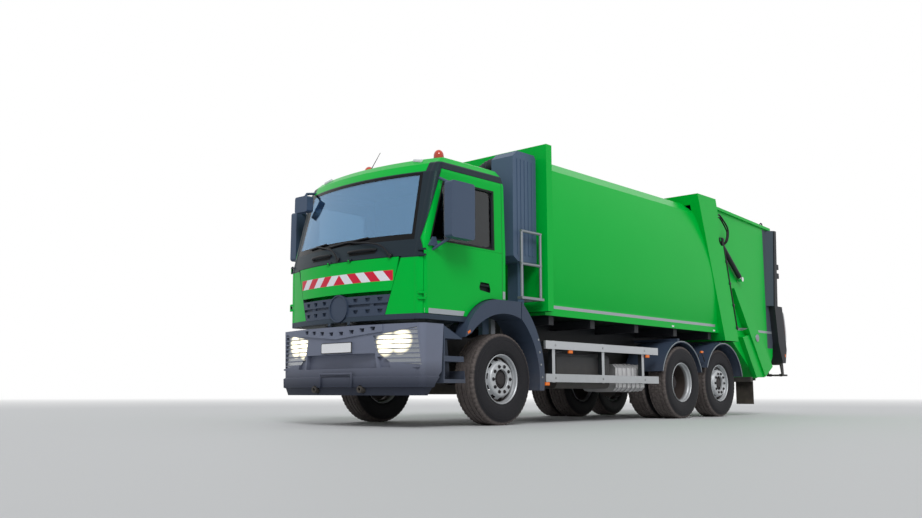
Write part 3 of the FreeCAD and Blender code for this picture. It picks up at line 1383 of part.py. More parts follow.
def rear_step():
    """A folding step board under the left rear corner."""
    board = box(REAR_END, STEP_HINGE_X - 30, 932, 1168, STEP_HINGE_Z - 15, STEP_HINGE_Z + 15)
    knuckles = []
    for y in (934, 1126):
        eye = rod(24, (STEP_HINGE_X, y, STEP_HINGE_Z), (STEP_HINGE_X, y + 40, STEP_HINGE_Z))
        arm = box(STEP_HINGE_X - 31, STEP_HINGE_X, y, y + 40, STEP_HINGE_Z - 15, STEP_HINGE_Z + 15)
        knuckles += [eye, arm]
    whole = fused([board] + knuckles)
    return whole.cut(rod(12 + RUN_FIT, (STEP_HINGE_X, 890, STEP_HINGE_Z), (STEP_HINGE_X, 1210, STEP_HINGE_Z)))


def step_frames():
    """Hangers and hinge pins of the two rear steps."""
    pieces = []
    for y in (900, 1176):
        hanger = side_prism([(-4446, 900), (-4556, 900), (STEP_HINGE_X - 20, STEP_HINGE_Z - 20),
                             (STEP_HINGE_X + 40, STEP_HINGE_Z - 20)], y, y + 24)
        pieces.append(hanger)
    top = box(-4556, -4446, 900, 1200, 870, 900)
    pin = rod(12, (STEP_HINGE_X, 900, STEP_HINGE_Z), (STEP_HINGE_X, 1200, STEP_HINGE_Z))
    return pair(fused(pieces + [top, pin]))


def rear_bar():
    """The rear cross bar under the hopper with its mud flaps."""
    arm = side_prism([(FRAME_REAR, 800), (FRAME_REAR, RAIL_Z0 + 100), (-3190, 640), (-3250, 640), (-3250, 590)],
                     RAIL_Y, RAIL_Y + RAIL_W)
    bar = box(-3270, -3190, -1210, 1210, 560, 640)
    return fused([arm, mirrored(arm), bar])


def mud_flaps():
    flap = box(-3285, -3270, 900, 1205, 190, 630)
    return pair(flap)


save_wheels()
save_axles()
save_chassis()
save("bumper", bumper())
save("headlamps", pair(headlamp()))
save("entry_steps", pair(entry_steps()))
save("mudguards", Part.makeCompound([chassis_wings(), rear_mudguards()]))
save("side_guards", side_guards())
save("silencer", silencer())
save("fuel_tanks", fuel_tank())
save_cab()
mirror = door_mirror()
save("mirror_left", mirror)
save("mirror_right", mirrored(mirror))
save("front_mirror", front_mirror())
save("beacons", beacons())
save("seats", seats())
save("dashboard", fused([dashboard(), steering_wheel()]))
save("air_stack", air_stack())
save("handrail", handrail())
save("load_body", load_body())
save("tailgate", tailgate())
save("tail_lamps", tail_lamps())
save("lift_barrels", pair(lift_barrel()))
save("lift_rods", pair(lift_rod()))
save("packer_carriage", packer_carriage())
save("packer_blade", packer_blade())
save("bin_lifter", bin_lifter())
save("rear_step_left", rear_step())
save("rear_step_right", mirrored(rear_step()))
save("step_frames", step_frames())
save("rear_bar", rear_bar())
save("mud_flaps", mud_flaps())
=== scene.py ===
import bmesh
import bpy
import math
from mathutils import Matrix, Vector
from mathutils.bvhtree import BVHTree


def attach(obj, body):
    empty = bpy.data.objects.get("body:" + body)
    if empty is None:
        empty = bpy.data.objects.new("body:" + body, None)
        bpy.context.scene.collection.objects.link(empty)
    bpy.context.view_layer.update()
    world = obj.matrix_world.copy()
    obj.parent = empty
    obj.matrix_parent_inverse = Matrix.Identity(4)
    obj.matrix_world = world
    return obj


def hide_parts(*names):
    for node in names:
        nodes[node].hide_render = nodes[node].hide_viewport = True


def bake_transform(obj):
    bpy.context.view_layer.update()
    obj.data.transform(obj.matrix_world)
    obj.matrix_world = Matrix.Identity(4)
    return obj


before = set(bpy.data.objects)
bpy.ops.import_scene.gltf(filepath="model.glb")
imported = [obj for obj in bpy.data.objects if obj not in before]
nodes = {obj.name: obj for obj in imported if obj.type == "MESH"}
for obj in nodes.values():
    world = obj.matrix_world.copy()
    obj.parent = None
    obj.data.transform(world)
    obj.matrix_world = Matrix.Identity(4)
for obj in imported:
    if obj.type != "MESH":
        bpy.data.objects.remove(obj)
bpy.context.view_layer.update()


# Camera. It stands low in front of the truck's left corner and looks slightly up,
# as the photograph was taken, with its heading and height in metres from the ground.
def stand(name, data):
    """A new object in the scene."""
    made = bpy.data.objects.new(name, data)
    bpy.context.scene.collection.objects.link(made)
    return made


camera_data = bpy.data.cameras.new("photo_camera")
camera_data.sensor_width = 36.0
camera_data.lens = 35.77
camera_data.clip_end = 500.0
camera = stand("photo_camera", camera_data)
heading = math.radians(-137.78)
pitch = math.radians(8.35)
look = Vector((math.cos(heading) * math.cos(pitch), math.sin(heading) * math.cos(pitch), math.sin(pitch)))
camera.location = (11.524, 8.014, 0.366)
camera.rotation_euler = look.to_track_quat("-Z", "Y").to_euler()
bpy.context.scene.camera = camera
bpy.context.scene.view_settings.view_transform = "Standard"


# Studio floor and light. A pale matt floor under a white surround, with one broad soft lamp
# from the front left above, and the surround itself for the rest.
def linear(code):
    """An sRGB hex colour as linear red, green, blue and full opacity."""
    parts = [int(code[i:i + 2], 16) / 255 for i in (1, 3, 5)]
    return tuple(p / 12.92 if p <= 0.04045 else ((p + 0.055) / 1.055) ** 2.4 for p in parts) + (1.0,)


def add(tree, kind, values=None):
    """Adds a node. Lower-case keys are its own properties, the rest and numbers are its sockets.
    A socket is given a constant, or linked to another socket or to a node's first output."""
    made = tree.nodes.new(kind)
    for key, value in (values or {}).items():
        if isinstance(key, str) and key[0].islower():
            setattr(made, key, value)
        elif isinstance(value, bpy.types.Node):
            tree.links.new(value.outputs[0], made.inputs[key])
        elif isinstance(value, bpy.types.NodeSocket):
            tree.links.new(value, made.inputs[key])
        else:
            made.inputs[key].default_value = value
    return made


def blank_material(name):
    """A material without nodes yet, and its tree."""
    material = bpy.data.materials.new(name)
    material.use_nodes = True
    material.node_tree.nodes.clear()
    return material, material.node_tree


floor_paint, tree = blank_material("studio_floor")
shader = add(tree, "ShaderNodeBsdfPrincipled", {"Base Color": linear("#C9CBCD"), "Roughness": 0.7})
white = add(tree, "ShaderNodeEmission", {"Color": (1, 1, 1, 1), "Strength": 1.0})
place = add(tree, "ShaderNodeNewGeometry").outputs["Position"]
far = add(tree, "ShaderNodeVectorMath", {"operation": "LENGTH", 0: place}).outputs["Value"]
fade = add(tree, "ShaderNodeMapRange", {"From Min": 14.0, "From Max": 60.0, "Value": far})
blend = add(tree, "ShaderNodeMixShader", {0: fade, 1: shader, 2: white})
add(tree, "ShaderNodeOutputMaterial", {"Surface": blend})
floor_mesh = bpy.data.meshes.new("studio_floor")
reach = 160.0
corners = [(x * reach, y * reach, 0) for x, y in ((-1, -1), (1, -1), (1, 1), (-1, 1))]
floor_mesh.from_pydata(corners, [], [(0, 1, 2, 3)])
floor_mesh.materials.append(floor_paint)
stand("studio_floor", floor_mesh)

world = bpy.data.worlds.new("studio")
bpy.context.scene.world = world
world.use_nodes = True
tree = world.node_tree
tree.nodes.clear()
soft = add(tree, "ShaderNodeBackground", {"Color": (1, 1, 1, 1), "Strength": 0.5})
shown = add(tree, "ShaderNodeBackground", {"Color": (1, 1, 1, 1), "Strength": 1.0})
ray = add(tree, "ShaderNodeLightPath").outputs
seen = add(tree, "ShaderNodeMath",
           {"operation": "MAXIMUM", 0: ray["Is Camera Ray"], 1: ray["Is Transmission Ray"]})
seen = add(tree, "ShaderNodeMath", {"operation": "MAXIMUM", 0: seen, 1: ray["Is Glossy Ray"]})
mix = add(tree, "ShaderNodeMixShader", {0: seen, 1: soft, 2: shown})
add(tree, "ShaderNodeOutputWorld", {"Surface": mix})

lamp_data = bpy.data.lights.new("soft_key", "SUN")
lamp_data.energy = 1.5
lamp_data.angle = math.radians(25)
lamp = stand("soft_key", lamp_data)
lamp.rotation_euler = Vector((-0.55, -0.62, -0.75)).to_track_quat("-Z", "Y").to_euler()


# Chassis. Two pressed channel rails with cross members and body bearers, sprayed in satin
# chassis enamel that has gathered road dust; the hangers, rear bar and step frames match it.
def coated(name, base, roughness, metallic=0.0, coat=0.0, dirt="#6B6257", dirt_top=1.0, dirt_most=0.35,
           grain_mm=1.5, grain=0.04, spread=0.06, shine=0.25):
    """A sprayed, moulded or cast finish: small colour drift, fine surface grain and road dust low down."""
    material, tree = blank_material(name)
    place = add(tree, "ShaderNodeTexCoord").outputs["Object"]
    drift = add(tree, "ShaderNodeTexNoise", {"Scale": 1.4, "Detail": 4.0, "Vector": place})
    lighter = add(tree, "ShaderNodeMapRange",
                  {"To Min": 1.0 - spread, "To Max": 1.0 + spread, "Value": drift})
    tint = add(tree, "ShaderNodeVectorMath", {"operation": "SCALE", 0: linear(base)[:3], "Scale": lighter})
    height = add(tree, "ShaderNodeSeparateXYZ", {0: place}).outputs["Z"]
    low = add(tree, "ShaderNodeMapRange",
              {"From Min": dirt_top, "From Max": 0.15, "To Min": 0.0, "To Max": 1.0, "Value": height})
    patch = add(tree, "ShaderNodeTexNoise", {"Scale": 9.0, "Detail": 8.0, "Roughness": 0.65, "Vector": place})
    some = add(tree, "ShaderNodeMath", {"operation": "MULTIPLY", "use_clamp": True, 0: low, 1: patch})
    # The noise peaks near 0.6, so 1.6 times as much brings its peaks to dirt_most
    share = add(tree, "ShaderNodeMath", {"operation": "MULTIPLY", 0: some, 1: dirt_most * 1.6})
    dusty = add(tree, "ShaderNodeMix", {"data_type": "RGBA", 0: share, 6: tint, 7: linear(dirt)}).outputs[2]
    rough = add(tree, "ShaderNodeMapRange",
                {"To Min": roughness, "To Max": min(roughness + 0.35, 0.95), "Value": share})
    fine = add(tree, "ShaderNodeTexNoise", {"Scale": 1000.0 / grain_mm / 4, "Detail": 2.0, "Vector": place})
    bump = add(tree, "ShaderNodeBump", {"Strength": grain * 4, "Distance": 0.001, "Height": fine})
    shader = add(tree, "ShaderNodeBsdfPrincipled",
                 {"Metallic": metallic, "Coat Weight": coat, "Coat Roughness": 0.06,
                  "Specular IOR Level": 0.5 if metallic > 0.5 else shine,
                  "Base Color": dusty, "Roughness": rough, "Normal": bump})
    add(tree, "ShaderNodeOutputMaterial", {"Surface": shader})
    return material


def finish_nodes(material, *names):
    """Gives carried-over nodes their real finish."""
    for name in names:
        mesh = nodes[name].data
        mesh.materials.clear()
        mesh.materials.append(material)


chassis_enamel = coated("chassis_enamel", "#26292E", 0.5, dirt_most=0.5, dirt_top=1.3)
finish_nodes(chassis_enamel, "chassis_frame", "tow_sockets", "suspension", "front_axle", "tag_axle",
             "drive_axle", "rear_bar", "step_frames", "knuckle_front_left", "knuckle_front_right",
             "knuckle_tag_left", "knuckle_tag_right")


# Engine and shaft. A grey iron casting with its bolted gearbox and drawn steel shaft,
# left bare, so the skin is rough, dull and dusty.
finish_nodes(coated("cast_iron", "#3B3A38", 0.75, dirt_most=0.7, grain_mm=4.0, grain=0.2), "engine_and_drive")


# Tyres. Steel-belted rubber moulded with circumferential ribs, shoulder notches and, on the drive
# axle, cross-cut blocks; the sidewalls swell between bead and shoulder and carry fine moulded rings.
def spot(x, y, z):
    """A point of the part's drawing in millimetres, whose datum is 6 mm ahead of the frame's, in metres."""
    return Vector(((x - 6.0) / 1000, y / 1000, z / 1000))


def piece(name, mesh, body, material):
    """A finished mesh as a piece of the truck that rides on a body."""
    mesh.name = name
    made = stand(name, mesh)
    mesh.materials.clear()
    mesh.materials.append(material)
    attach(made, body)
    return made


def outward(mesh):
    """Joins the seam of a closed mesh and points every face outwards."""
    work = bmesh.new()
    work.from_mesh(mesh)
    bmesh.ops.remove_doubles(work, verts=work.verts, dist=0.00001)
    bmesh.ops.recalc_face_normals(work, faces=work.faces)
    work.to_mesh(mesh)
    work.free()
    return mesh


def kept(work):
    """Ends work on a mesh and keeps the result as a new one."""
    mesh = bpy.data.meshes.new("kept")
    work.to_mesh(mesh)
    work.free()
    return mesh


def one_mesh(meshes):
    """Joins meshes into one."""
    work = bmesh.new()
    for part in meshes:
        work.from_mesh(part)
    return kept(work)


# The two sides, the three axles' stations along the frame, and the height of the wheels' centres
SIDES = ((1, "left"), (-1, "right"))
AXLES = {"front": 3250.0, "drive": -850.0, "tag": -2200.0}
WHEEL_Z = 530


def lathe(rows, x, side, turns, skip=None, lower=None):
    """Rows of (radius, y) turned about a wheel's axis; skip drops faces and lower sinks tread cells."""
    verts = []
    for i in range(turns):
        a = 2 * math.pi * i / turns
        for j, (r, y) in enumerate(rows):
            sunk = r - (lower(i, j) if lower else 0.0)
            verts.append(spot(x + sunk * math.sin(a), y * side, WHEEL_Z + sunk * math.cos(a)))
    count = len(rows)
    faces = []
    for i in range(turns):
        k = (i + 1) % turns
        for j in range(count - 1):
            if skip is None or not skip(i, j):
                faces.append((i * count + j, i * count + j + 1, k * count + j + 1, k * count + j))
    mesh = bpy.data.meshes.new("turned")
    mesh.from_pydata(verts, [], faces)
    return mesh


rubber, tree = blank_material("moulded_rubber")
place = add(tree, "ShaderNodeTexCoord").outputs["Object"]
worn = add(tree, "ShaderNodeAttribute", {"attribute_name": "tread"}).outputs["Fac"]
# Road dust lies in 8 to 30 mm patches on the tread and thinly on the sidewall
patch = add(tree, "ShaderNodeTexNoise", {"Scale": 26.0, "Detail": 8.0, "Roughness": 0.7, "Vector": place})
amount = add(tree, "ShaderNodeMapRange", {"To Min": 0.08, "To Max": 1.35, "Value": worn})
share = add(tree, "ShaderNodeMath", {"operation": "MULTIPLY", "use_clamp": True, 0: patch, 1: amount})
dusty = add(tree, "ShaderNodeMix",
            {"data_type": "RGBA", 0: share, 6: linear("#14151B"), 7: linear("#6E6663")})
rough = add(tree, "ShaderNodeMapRange", {"To Min": 0.62, "To Max": 0.92, "Value": share})
pits = add(tree, "ShaderNodeTexNoise", {"Scale": 400.0, "Detail": 3.0, "Vector": place})
bump = add(tree, "ShaderNodeBump", {"Strength": 0.3, "Distance": 0.001, "Height": pits})
shader = add(tree, "ShaderNodeBsdfPrincipled", {"Specular IOR Level": 0.22, "Base Color": dusty.outputs[2],
                                                "Roughness": rough, "Normal": bump})
add(tree, "ShaderNodeOutputMaterial", {"Surface": shader})


def tyre_rows(y_out):
    """The tyre's section from bead to bead, with the tread's groove walls, as (radius, y)."""
    middle = y_out - 157.5
    half = [(292, 128), (306, 139), (322, 146), (326, 150), (350, 154), (390, 157), (430, 157), (455, 154),
            (458, 156), (464, 153), (490, 146), (512, 138), (524, 131), (530, 118)]
    tread = []
    for groove in (-92, -31, 31, 92):
        tread += [(530, groove - 7), (517, groove - 4), (517, groove + 4), (530, groove + 7)]
    rows = [(r, -y) for r, y in half] + tread + [(r, y) for r, y in reversed(half)]
    rows += [(290, 122), (290, -122), (292, -128)]
    return [(r, middle + y) for r, y in rows]


def tyre_mesh(x, y_out, blocks, side):
    """A treaded tyre: shoulder notches in every third or fourth cell, and cross cuts where it has blocks."""
    rows = tyre_rows(y_out)
    # The tread runs between the two shoulder rows at a radius of 512 mm, the first beyond 506
    first = 11
    last = len(rows) - 15
    step = 4 if blocks else 3

    def sunk(i, j):
        """How deep a tread cell lies."""
        if j < first or j > last:
            return 0.0
        if j < first + 4 or j > last - 4:
            return 7.0 if i % step == 0 and rows[j][0] > 506 else 0.0
        lane = (j - first) // 4
        return 9.0 if blocks and (i + lane * 2) % step == 0 and rows[j][0] == 530 else 0.0

    mesh = lathe(rows, x, side, 168, lower=sunk)
    band = mesh.attributes.new("tread", "FLOAT", "POINT")
    for k in range(len(mesh.vertices)):
        band.data[k].value = 1.0 if rows[k % len(rows)][0] > 506 else 0.0
    return outward(mesh)


for side, hand in SIDES:
    for axle in ("front", "tag"):
        mesh = tyre_mesh(AXLES[axle], 1165, False, side)
        made = piece(f"tread_{axle}_{hand}", mesh, f"wheel_{axle}_{hand}", rubber)
        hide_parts(f"tyre_{axle}_{hand}")
    pair = one_mesh([tyre_mesh(AXLES["drive"], out, True, side) for out in (1238, 881)])
    made = piece(f"treads_drive_{hand}", pair, f"wheels_drive_{hand}", rubber)
    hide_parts(f"tyres_drive_{hand}")


# Wheels. Pressed steel discs welded into rolled rims and sprayed silver: a raised bolting flange with ten
# nuts, D-shaped hand holes at the disc's edge, and a dark hub behind it. The drive pair is dished inwards.
def over(material, mask, colour, roughness=None):
    """Lays a second colour over a coated finish where a mask is 1."""
    tree = material.node_tree
    shader = tree.nodes["Principled BSDF"].inputs
    under = shader["Base Color"].links[0].from_socket
    top = add(tree, "ShaderNodeMix", {"data_type": "RGBA", 0: mask, 6: under, 7: linear(colour)})
    tree.links.new(top.outputs[2], shader["Base Color"])
    if roughness is not None:
        under = shader["Roughness"].links[0].from_socket
        rough = add(tree, "ShaderNodeMix", {"data_type": "FLOAT", 0: mask, 2: under, 3: roughness})
        tree.links.new(rough.outputs[0], shader["Roughness"])


wheel_silver = coated("wheel_silver", "#C3C7CB", 0.34, metallic=0.3, dirt_most=0.3, dirt_top=1.05,
                      dirt="#5A4C47")
# The darker ring in the wheel's well is dust and painted shade
well_dust_and_shade = add(wheel_silver.node_tree, "ShaderNodeAttribute", {"attribute_name": "well_dust_and_shade"})
over(wheel_silver, well_dust_and_shade.outputs["Fac"], "#4A423F")
hub_enamel = coated("hub_enamel", "#23252A", 0.5, dirt_most=0.6, dirt="#4A403C", dirt_top=1.05)


def wheel_mesh(x, side, lip, disc, flange, back):
    """A rim from lip to back and its disc, whose flange stands at its own station."""
    turns = 120
    drum = [(287, lip - 1), (284, lip + 2), (278, lip - 6), (274, lip - 30), (264, lip - 50),
            (262, lip - 100), (262, back + 60), (278, back + 16), (286, back + 2)]
    slope = flange - disc
    face = [(262, disc - 4), (257, disc), (250, disc + 3), (236, disc + 0.12 * slope),
            (222, disc + 0.3 * slope), (210, disc + 0.55 * slope), (199, disc + 0.86 * slope),
            (190, flange - 2), (184, flange), (120, flange), (116, flange - 4), (114, flange - 30)]

    def hand_hole(i, j):
        """Ten openings around the disc's outer rows."""
        return 1 <= j < 5 and (i * 10 / turns) % 1 < 0.42

    whole = one_mesh([lathe(drum, x, side, turns), lathe(face, x, side, turns, skip=hand_hole)])
    # Dust and painted shade darken the well behind the lip and around the hand holes
    well_dust_and_shade = whole.attributes.new("well_dust_and_shade", "FLOAT", "POINT")
    for k, vert in enumerate(whole.vertices):
        reach = math.hypot(vert.co.x - (x - 6.0) / 1000, vert.co.z - WHEEL_Z / 1000)
        deep = abs(vert.co.y) < (lip - 60) / 1000
        well_dust_and_shade.data[k].value = 1.0 if 0.226 < reach < 0.272 and deep else 0.0
    return whole


def hub_mesh(x, side, base, top, radius):
    """The hub and its cap, turned."""
    rows = [(0, base), (radius, base), (radius, top - 26), (radius - 14, top - 18), (radius - 30, top - 16),
            (radius - 34, top - 4), (radius - 44, top), (0, top)]
    return outward(lathe(rows, x, side, 48))


def node_group(name, sockets):
    """A geometry node tree with named inputs, the map of those inputs, and the outputs of its input node."""
    group = bpy.data.node_groups.new(name, "GeometryNodeTree")
    inputs = {}
    for label, kind in sockets.items():
        kind = "NodeSocket" + kind
        inputs[label] = group.interface.new_socket(name=label, in_out="INPUT", socket_type=kind)
    group.interface.new_socket(name="Geometry", in_out="OUTPUT", socket_type="NodeSocketGeometry")
    return group, inputs, add(group, "NodeGroupInput").outputs


# Wheel nuts as they sit on a flange: a hexagon on a collar with the stud's end standing out of it
nut_tree, nut_inputs, given = node_group("flange_nuts", {
    "Count": "Int", "Circle Radius": "Float", "Nut Radius": "Float", "Nut Height": "Float",
    "Place": "Vector", "Turn": "Vector", "Finish": "Material"})
spots = add(nut_tree, "GeometryNodeMeshCircle",
            {"Vertices": given["Count"], "Radius": given["Circle Radius"]})
nut = add(nut_tree, "GeometryNodeMeshCylinder",
          {"Vertices": 6, "Radius": given["Nut Radius"], "Depth": given["Nut Height"]})
joined = add(nut_tree, "GeometryNodeJoinGeometry", {"Geometry": nut})
# The collar is wider and lower than the nut, the stud slimmer and taller
for sides, width, height in ((14, 1.25, 0.45), (10, 0.55, 1.7)):
    across = add(nut_tree, "ShaderNodeMath", {"operation": "MULTIPLY", 0: given["Nut Radius"], 1: width})
    tall = add(nut_tree, "ShaderNodeMath", {"operation": "MULTIPLY", 0: given["Nut Height"], 1: height})
    turned = add(nut_tree, "GeometryNodeMeshCylinder", {"Vertices": sides, "Radius": across, "Depth": tall})
    nut_tree.links.new(turned.outputs["Mesh"], joined.inputs["Geometry"])
around = add(nut_tree, "GeometryNodeInstanceOnPoints", {"Points": spots, "Instance": joined})
real = add(nut_tree, "GeometryNodeRealizeInstances", {"Geometry": around})
placed = add(nut_tree, "GeometryNodeTransform",
             {"Geometry": real, "Translation": given["Place"], "Rotation": given["Turn"]})
coat_it = add(nut_tree, "GeometryNodeSetMaterial", {"Geometry": placed, "Material": given["Finish"]})
add(nut_tree, "NodeGroupOutput", {"Geometry": coat_it})


def grown(name, group, sockets, values, body):
    """Runs a node tree once and keeps its result as a plain piece in the finish that it was given."""
    holder = stand(name + "_maker", bpy.data.meshes.new(name + "_maker"))
    maker = holder.modifiers.new("grow", "NODES")
    maker.node_group = group
    for label, value in values.items():
        maker[sockets[label].identifier] = value
    graph = bpy.context.evaluated_depsgraph_get()
    mesh = bpy.data.meshes.new_from_object(holder.evaluated_get(graph))
    bpy.data.objects.remove(holder)
    return piece(name, mesh, body, values["Finish"])


nut_steel = coated("nut_steel", "#3A3B40", 0.5, metallic=0.5, dirt_most=0.5, dirt="#4A3F3A", dirt_top=1.05)
# For each wheel the y of its lip, disc, flange and back, of its hub's two ends and radius, and of its nuts
STEERED = ((1141, 1062, 1138, 874), (990, 1128, 104), 1141)
TWINS = ((1214, 916, 940, 566), (800, 1080, 112), 946)
for side, hand in SIDES:
    for axle, (rim, hub, nuts) in (("front", STEERED), ("tag", STEERED), ("drive", TWINS)):
        body = f"wheels_drive_{hand}" if axle == "drive" else f"wheel_{axle}_{hand}"
        mesh = wheel_mesh(AXLES[axle], side, *rim)
        made = piece(f"disc_{axle}_{hand}", mesh, body, wheel_silver)
        plate = made.modifiers.new("plate", "SOLIDIFY")
        plate.thickness = 0.007
        plate.offset = 0.0
        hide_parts(f"rim_{axle}_{hand}")
        piece(f"hub_{axle}_{hand}", hub_mesh(AXLES[axle], side, *hub), body, hub_enamel)
        values = {"Count": 10, "Circle Radius": 0.151, "Nut Radius": 0.017, "Nut Height": 0.026,
                  "Place": spot(AXLES[axle], nuts * side, WHEEL_Z), "Turn": Vector((math.radians(90), 0, 0)),
                  "Finish": nut_steel}
        grown(f"nuts_{axle}_{hand}", nut_tree, nut_inputs, values, body)
        if axle != "drive":
            rows = [(150, 1012), (252, 1012), (252, 1006), (150, 1006), (150, 1012)]
            shield = outward(lathe(rows, AXLES[axle], side, 60))
            piece(f"brake_shield_{axle}_{hand}", shield, body, hub_enamel)


# Tank, silencer and guards. The tanks are painted steel, the silencer rolled stainless sheet, and the
# side rails and handrail drawn aluminium, left bare and a little dusty.
def place_in(tree):
    """Where a point lies: along the truck, out from its middle and up."""
    at = add(tree, "ShaderNodeSeparateXYZ", {0: add(tree, "ShaderNodeTexCoord").outputs["Object"]}).outputs
    return at["X"], add(tree, "ShaderNodeMath", {"operation": "ABSOLUTE", 0: at["Y"]}), at["Z"]


def region(tree, x=None, out=None, z=None):
    """1 where a point lies within each range given."""
    mask = None
    for source, limits in zip(place_in(tree), (x, out, z)):
        if limits:
            middle = (limits[0] + limits[1]) / 2
            held = add(tree, "ShaderNodeMath",
                       {"operation": "COMPARE", 0: source, 1: middle, 2: limits[1] - middle})
            if mask:
                held = add(tree, "ShaderNodeMath", {"operation": "MULTIPLY", 0: mask, 1: held})
            mask = held
    return mask


finish_nodes(coated("tank_enamel", "#2B2D31", 0.45, dirt_most=0.55, dirt_top=0.9), "fuel_tanks")
stainless = coated("stainless_sheet", "#C4C4C6", 0.36, metallic=0.7, dirt_most=0.2, grain_mm=6.0, grain=0.05)
finish_nodes(stainless, "silencer")
aluminium = coated("drawn_aluminium", "#B9BCC0", 0.38, metallic=0.7, dirt_most=0.25, grain_mm=3.0)
finish_nodes(coated("rail_zinc", "#8D9299", 0.42, metallic=0.6, dirt_most=0.2, grain_mm=3.0), "handrail")
# The rails' drop brackets are black steel behind the bright profiles, which start 1.19 m out
guard_metal = coated("guard_aluminium", "#B9BCC0", 0.38, metallic=0.7, dirt_most=0.25, grain_mm=3.0)
over(guard_metal, region(guard_metal.node_tree, out=(0, 1.1895)), "#34373B", 0.55)
finish_nodes(guard_metal, "side_guards")


# Mouldings. Bumper, grille, wings, steps, stack and mirror housings are injection-moulded
# glass-filled plastic, blue-grey and fine-grained; the bumper is paler, and darker in its lower half with
# road spray and painted shade.
moulded = coated("moulded_plastic", "#3A4659", 0.48, dirt="#7A6F66", dirt_most=0.3, grain_mm=2.0, grain=0.12)
finish_nodes(moulded, "grille", "cab_wings", "mudguards", "entry_steps")
stack_plastic = coated("stack_plastic", "#4C6079", 0.42, dirt_most=0.1, grain_mm=2.0, grain=0.1)
finish_nodes(stack_plastic, "air_stack")
mirror_plastic = coated("mirror_plastic", "#43536A", 0.42, dirt_most=0.0, grain_mm=1.5, grain=0.06)
finish_nodes(mirror_plastic, "mirror_left", "mirror_right", "front_mirror")
dark_moulded = coated("dark_moulded_plastic", "#22252B", 0.5, dirt_most=0.4, grain_mm=2.0, grain=0.12)
finish_nodes(dark_moulded, "tail_lamps", "rear_step_left", "rear_step_right")
# The bumper's lower half is darker with road spray and painted shade
bumper_plastic = coated("bumper_plastic", "#70778A", 0.5, dirt="#6A5F5C", dirt_most=0.35, grain_mm=2.0,
                        grain=0.12)
tree = bumper_plastic.node_tree
spray_and_shade = add(tree, "ShaderNodeMapRange", {"From Min": 0.72, "From Max": 0.46, "Value": place_in(tree)[2]})
over(bumper_plastic, spray_and_shade, "#2F3442", 0.6)
finish_nodes(bumper_plastic, "bumper")


# Green enamel. Pressed steel panels sprayed in two-pack green under clear lacquer, with black film on the
# cab's band, pillars and roof sides, and grey trim on whatever faces the inside of the cab.
def green_paint(name):
    """Green enamel, whose lacquer keeps the green in what it reflects."""
    material = coated(name, "#00B63D", 0.32, coat=0.04, dirt="#3F7A42", dirt_top=1.7, dirt_most=0.1,
                      spread=0.03, shine=0.16)
    shader = material.node_tree.nodes["Principled BSDF"]
    shader.inputs["Specular Tint"].default_value = linear("#58D8A0")
    return material


def inside_mask(tree, centre):
    """1 where a face looks towards a room's centre."""
    face = add(tree, "ShaderNodeNewGeometry").outputs
    away = add(tree, "ShaderNodeVectorMath", {"operation": "SUBTRACT", 0: face["Position"], 1: centre})
    lean = add(tree, "ShaderNodeVectorMath", {"operation": "DOT_PRODUCT", 0: away, 1: face["True Normal"]})
    return add(tree, "ShaderNodeMath", {"operation": "LESS_THAN", 0: lean.outputs["Value"], 1: 0.0})


CAB_ROOM = (3.9, 0.0, 2.1)
cab_green = green_paint("cab_green_enamel")
tree = cab_green.node_tree
x, out, z = place_in(tree)
# The pillar's rear edge follows the door's, upright to 2.04 m and raked above it
rise = add(tree, "ShaderNodeMath", {"operation": "SUBTRACT", 0: z, 1: 2.04})
rise = add(tree, "ShaderNodeMath", {"operation": "MAXIMUM", 0: rise, 1: 0.0})
front = add(tree, "ShaderNodeMath", {"operation": "MULTIPLY_ADD", 0: rise, 1: 0.3415, 2: x})
ahead = add(tree, "ShaderNodeMath", {"operation": "GREATER_THAN", 0: front, 1: 4.53})
# The black stops under the roof's front edge in the middle, and runs up into a band along the sides
middle = region(tree, z=(1.83, 2.838))
sides = region(tree, out=(0.985, 2.0), z=(1.83, 2.95))
tall = add(tree, "ShaderNodeMath", {"operation": "MAXIMUM", 0: sides, 1: middle})
pillar = add(tree, "ShaderNodeMath", {"operation": "MULTIPLY", 0: ahead, 1: tall})
band = region(tree, out=(0.985, 2.0), z=(2.862, 2.95))
black = add(tree, "ShaderNodeMath", {"operation": "MAXIMUM", 0: pillar, 1: band})
over(cab_green, black, "#2A2F3A", 0.4)
# Under the doors and the grille the shell ends in a grey plastic sill
over(cab_green, region(tree, z=(0, 1.221)), "#3A4251", 0.5)
over(cab_green, inside_mask(tree, CAB_ROOM), "#4A4F58", 0.8)
finish_nodes(cab_green, "cab_shell")

door_green = green_paint("door_green_enamel")
tree = door_green.node_tree
over(door_green, inside_mask(tree, CAB_ROOM), "#34373D", 0.8)
# The moulded handle and its recess, in the door's lower rear corner
over(door_green, region(tree, x=(3.446, 3.65), out=(0, 1.1488), z=(1.518, 1.638)), "#1B1D22", 0.5)
finish_nodes(door_green, "door_left", "door_right")

panel_green = green_paint("panel_green_enamel")
finish_nodes(panel_green, "front_flap")

# The load body's downward faces are painted near-black as shade
body_green = green_paint("body_green_enamel")
tree = body_green.node_tree
normal = add(tree, "ShaderNodeNewGeometry").outputs["True Normal"]
facing = add(tree, "ShaderNodeSeparateXYZ", {0: normal}).outputs["Z"]
painted_underside_shade = add(tree, "ShaderNodeMath", {"operation": "LESS_THAN", 0: facing, 1: -0.8})
over(body_green, painted_underside_shade, "#1D211F", 0.7)
finish_nodes(body_green, "load_body")

# The hopper's inside, between its walls and under the roof's hinge ribs, is rubbed down to stained steel
hopper_green = green_paint("hopper_green_enamel")
tree = hopper_green.node_tree
room = add(tree, "ShaderNodeMath", {"operation": "MULTIPLY", 0: region(tree, out=(0, 1.12), z=(0, 3.3)),
                                    1: inside_mask(tree, (-3.6, 0.0, 2.0))})
over(hopper_green, room, "#55584F", 0.75)
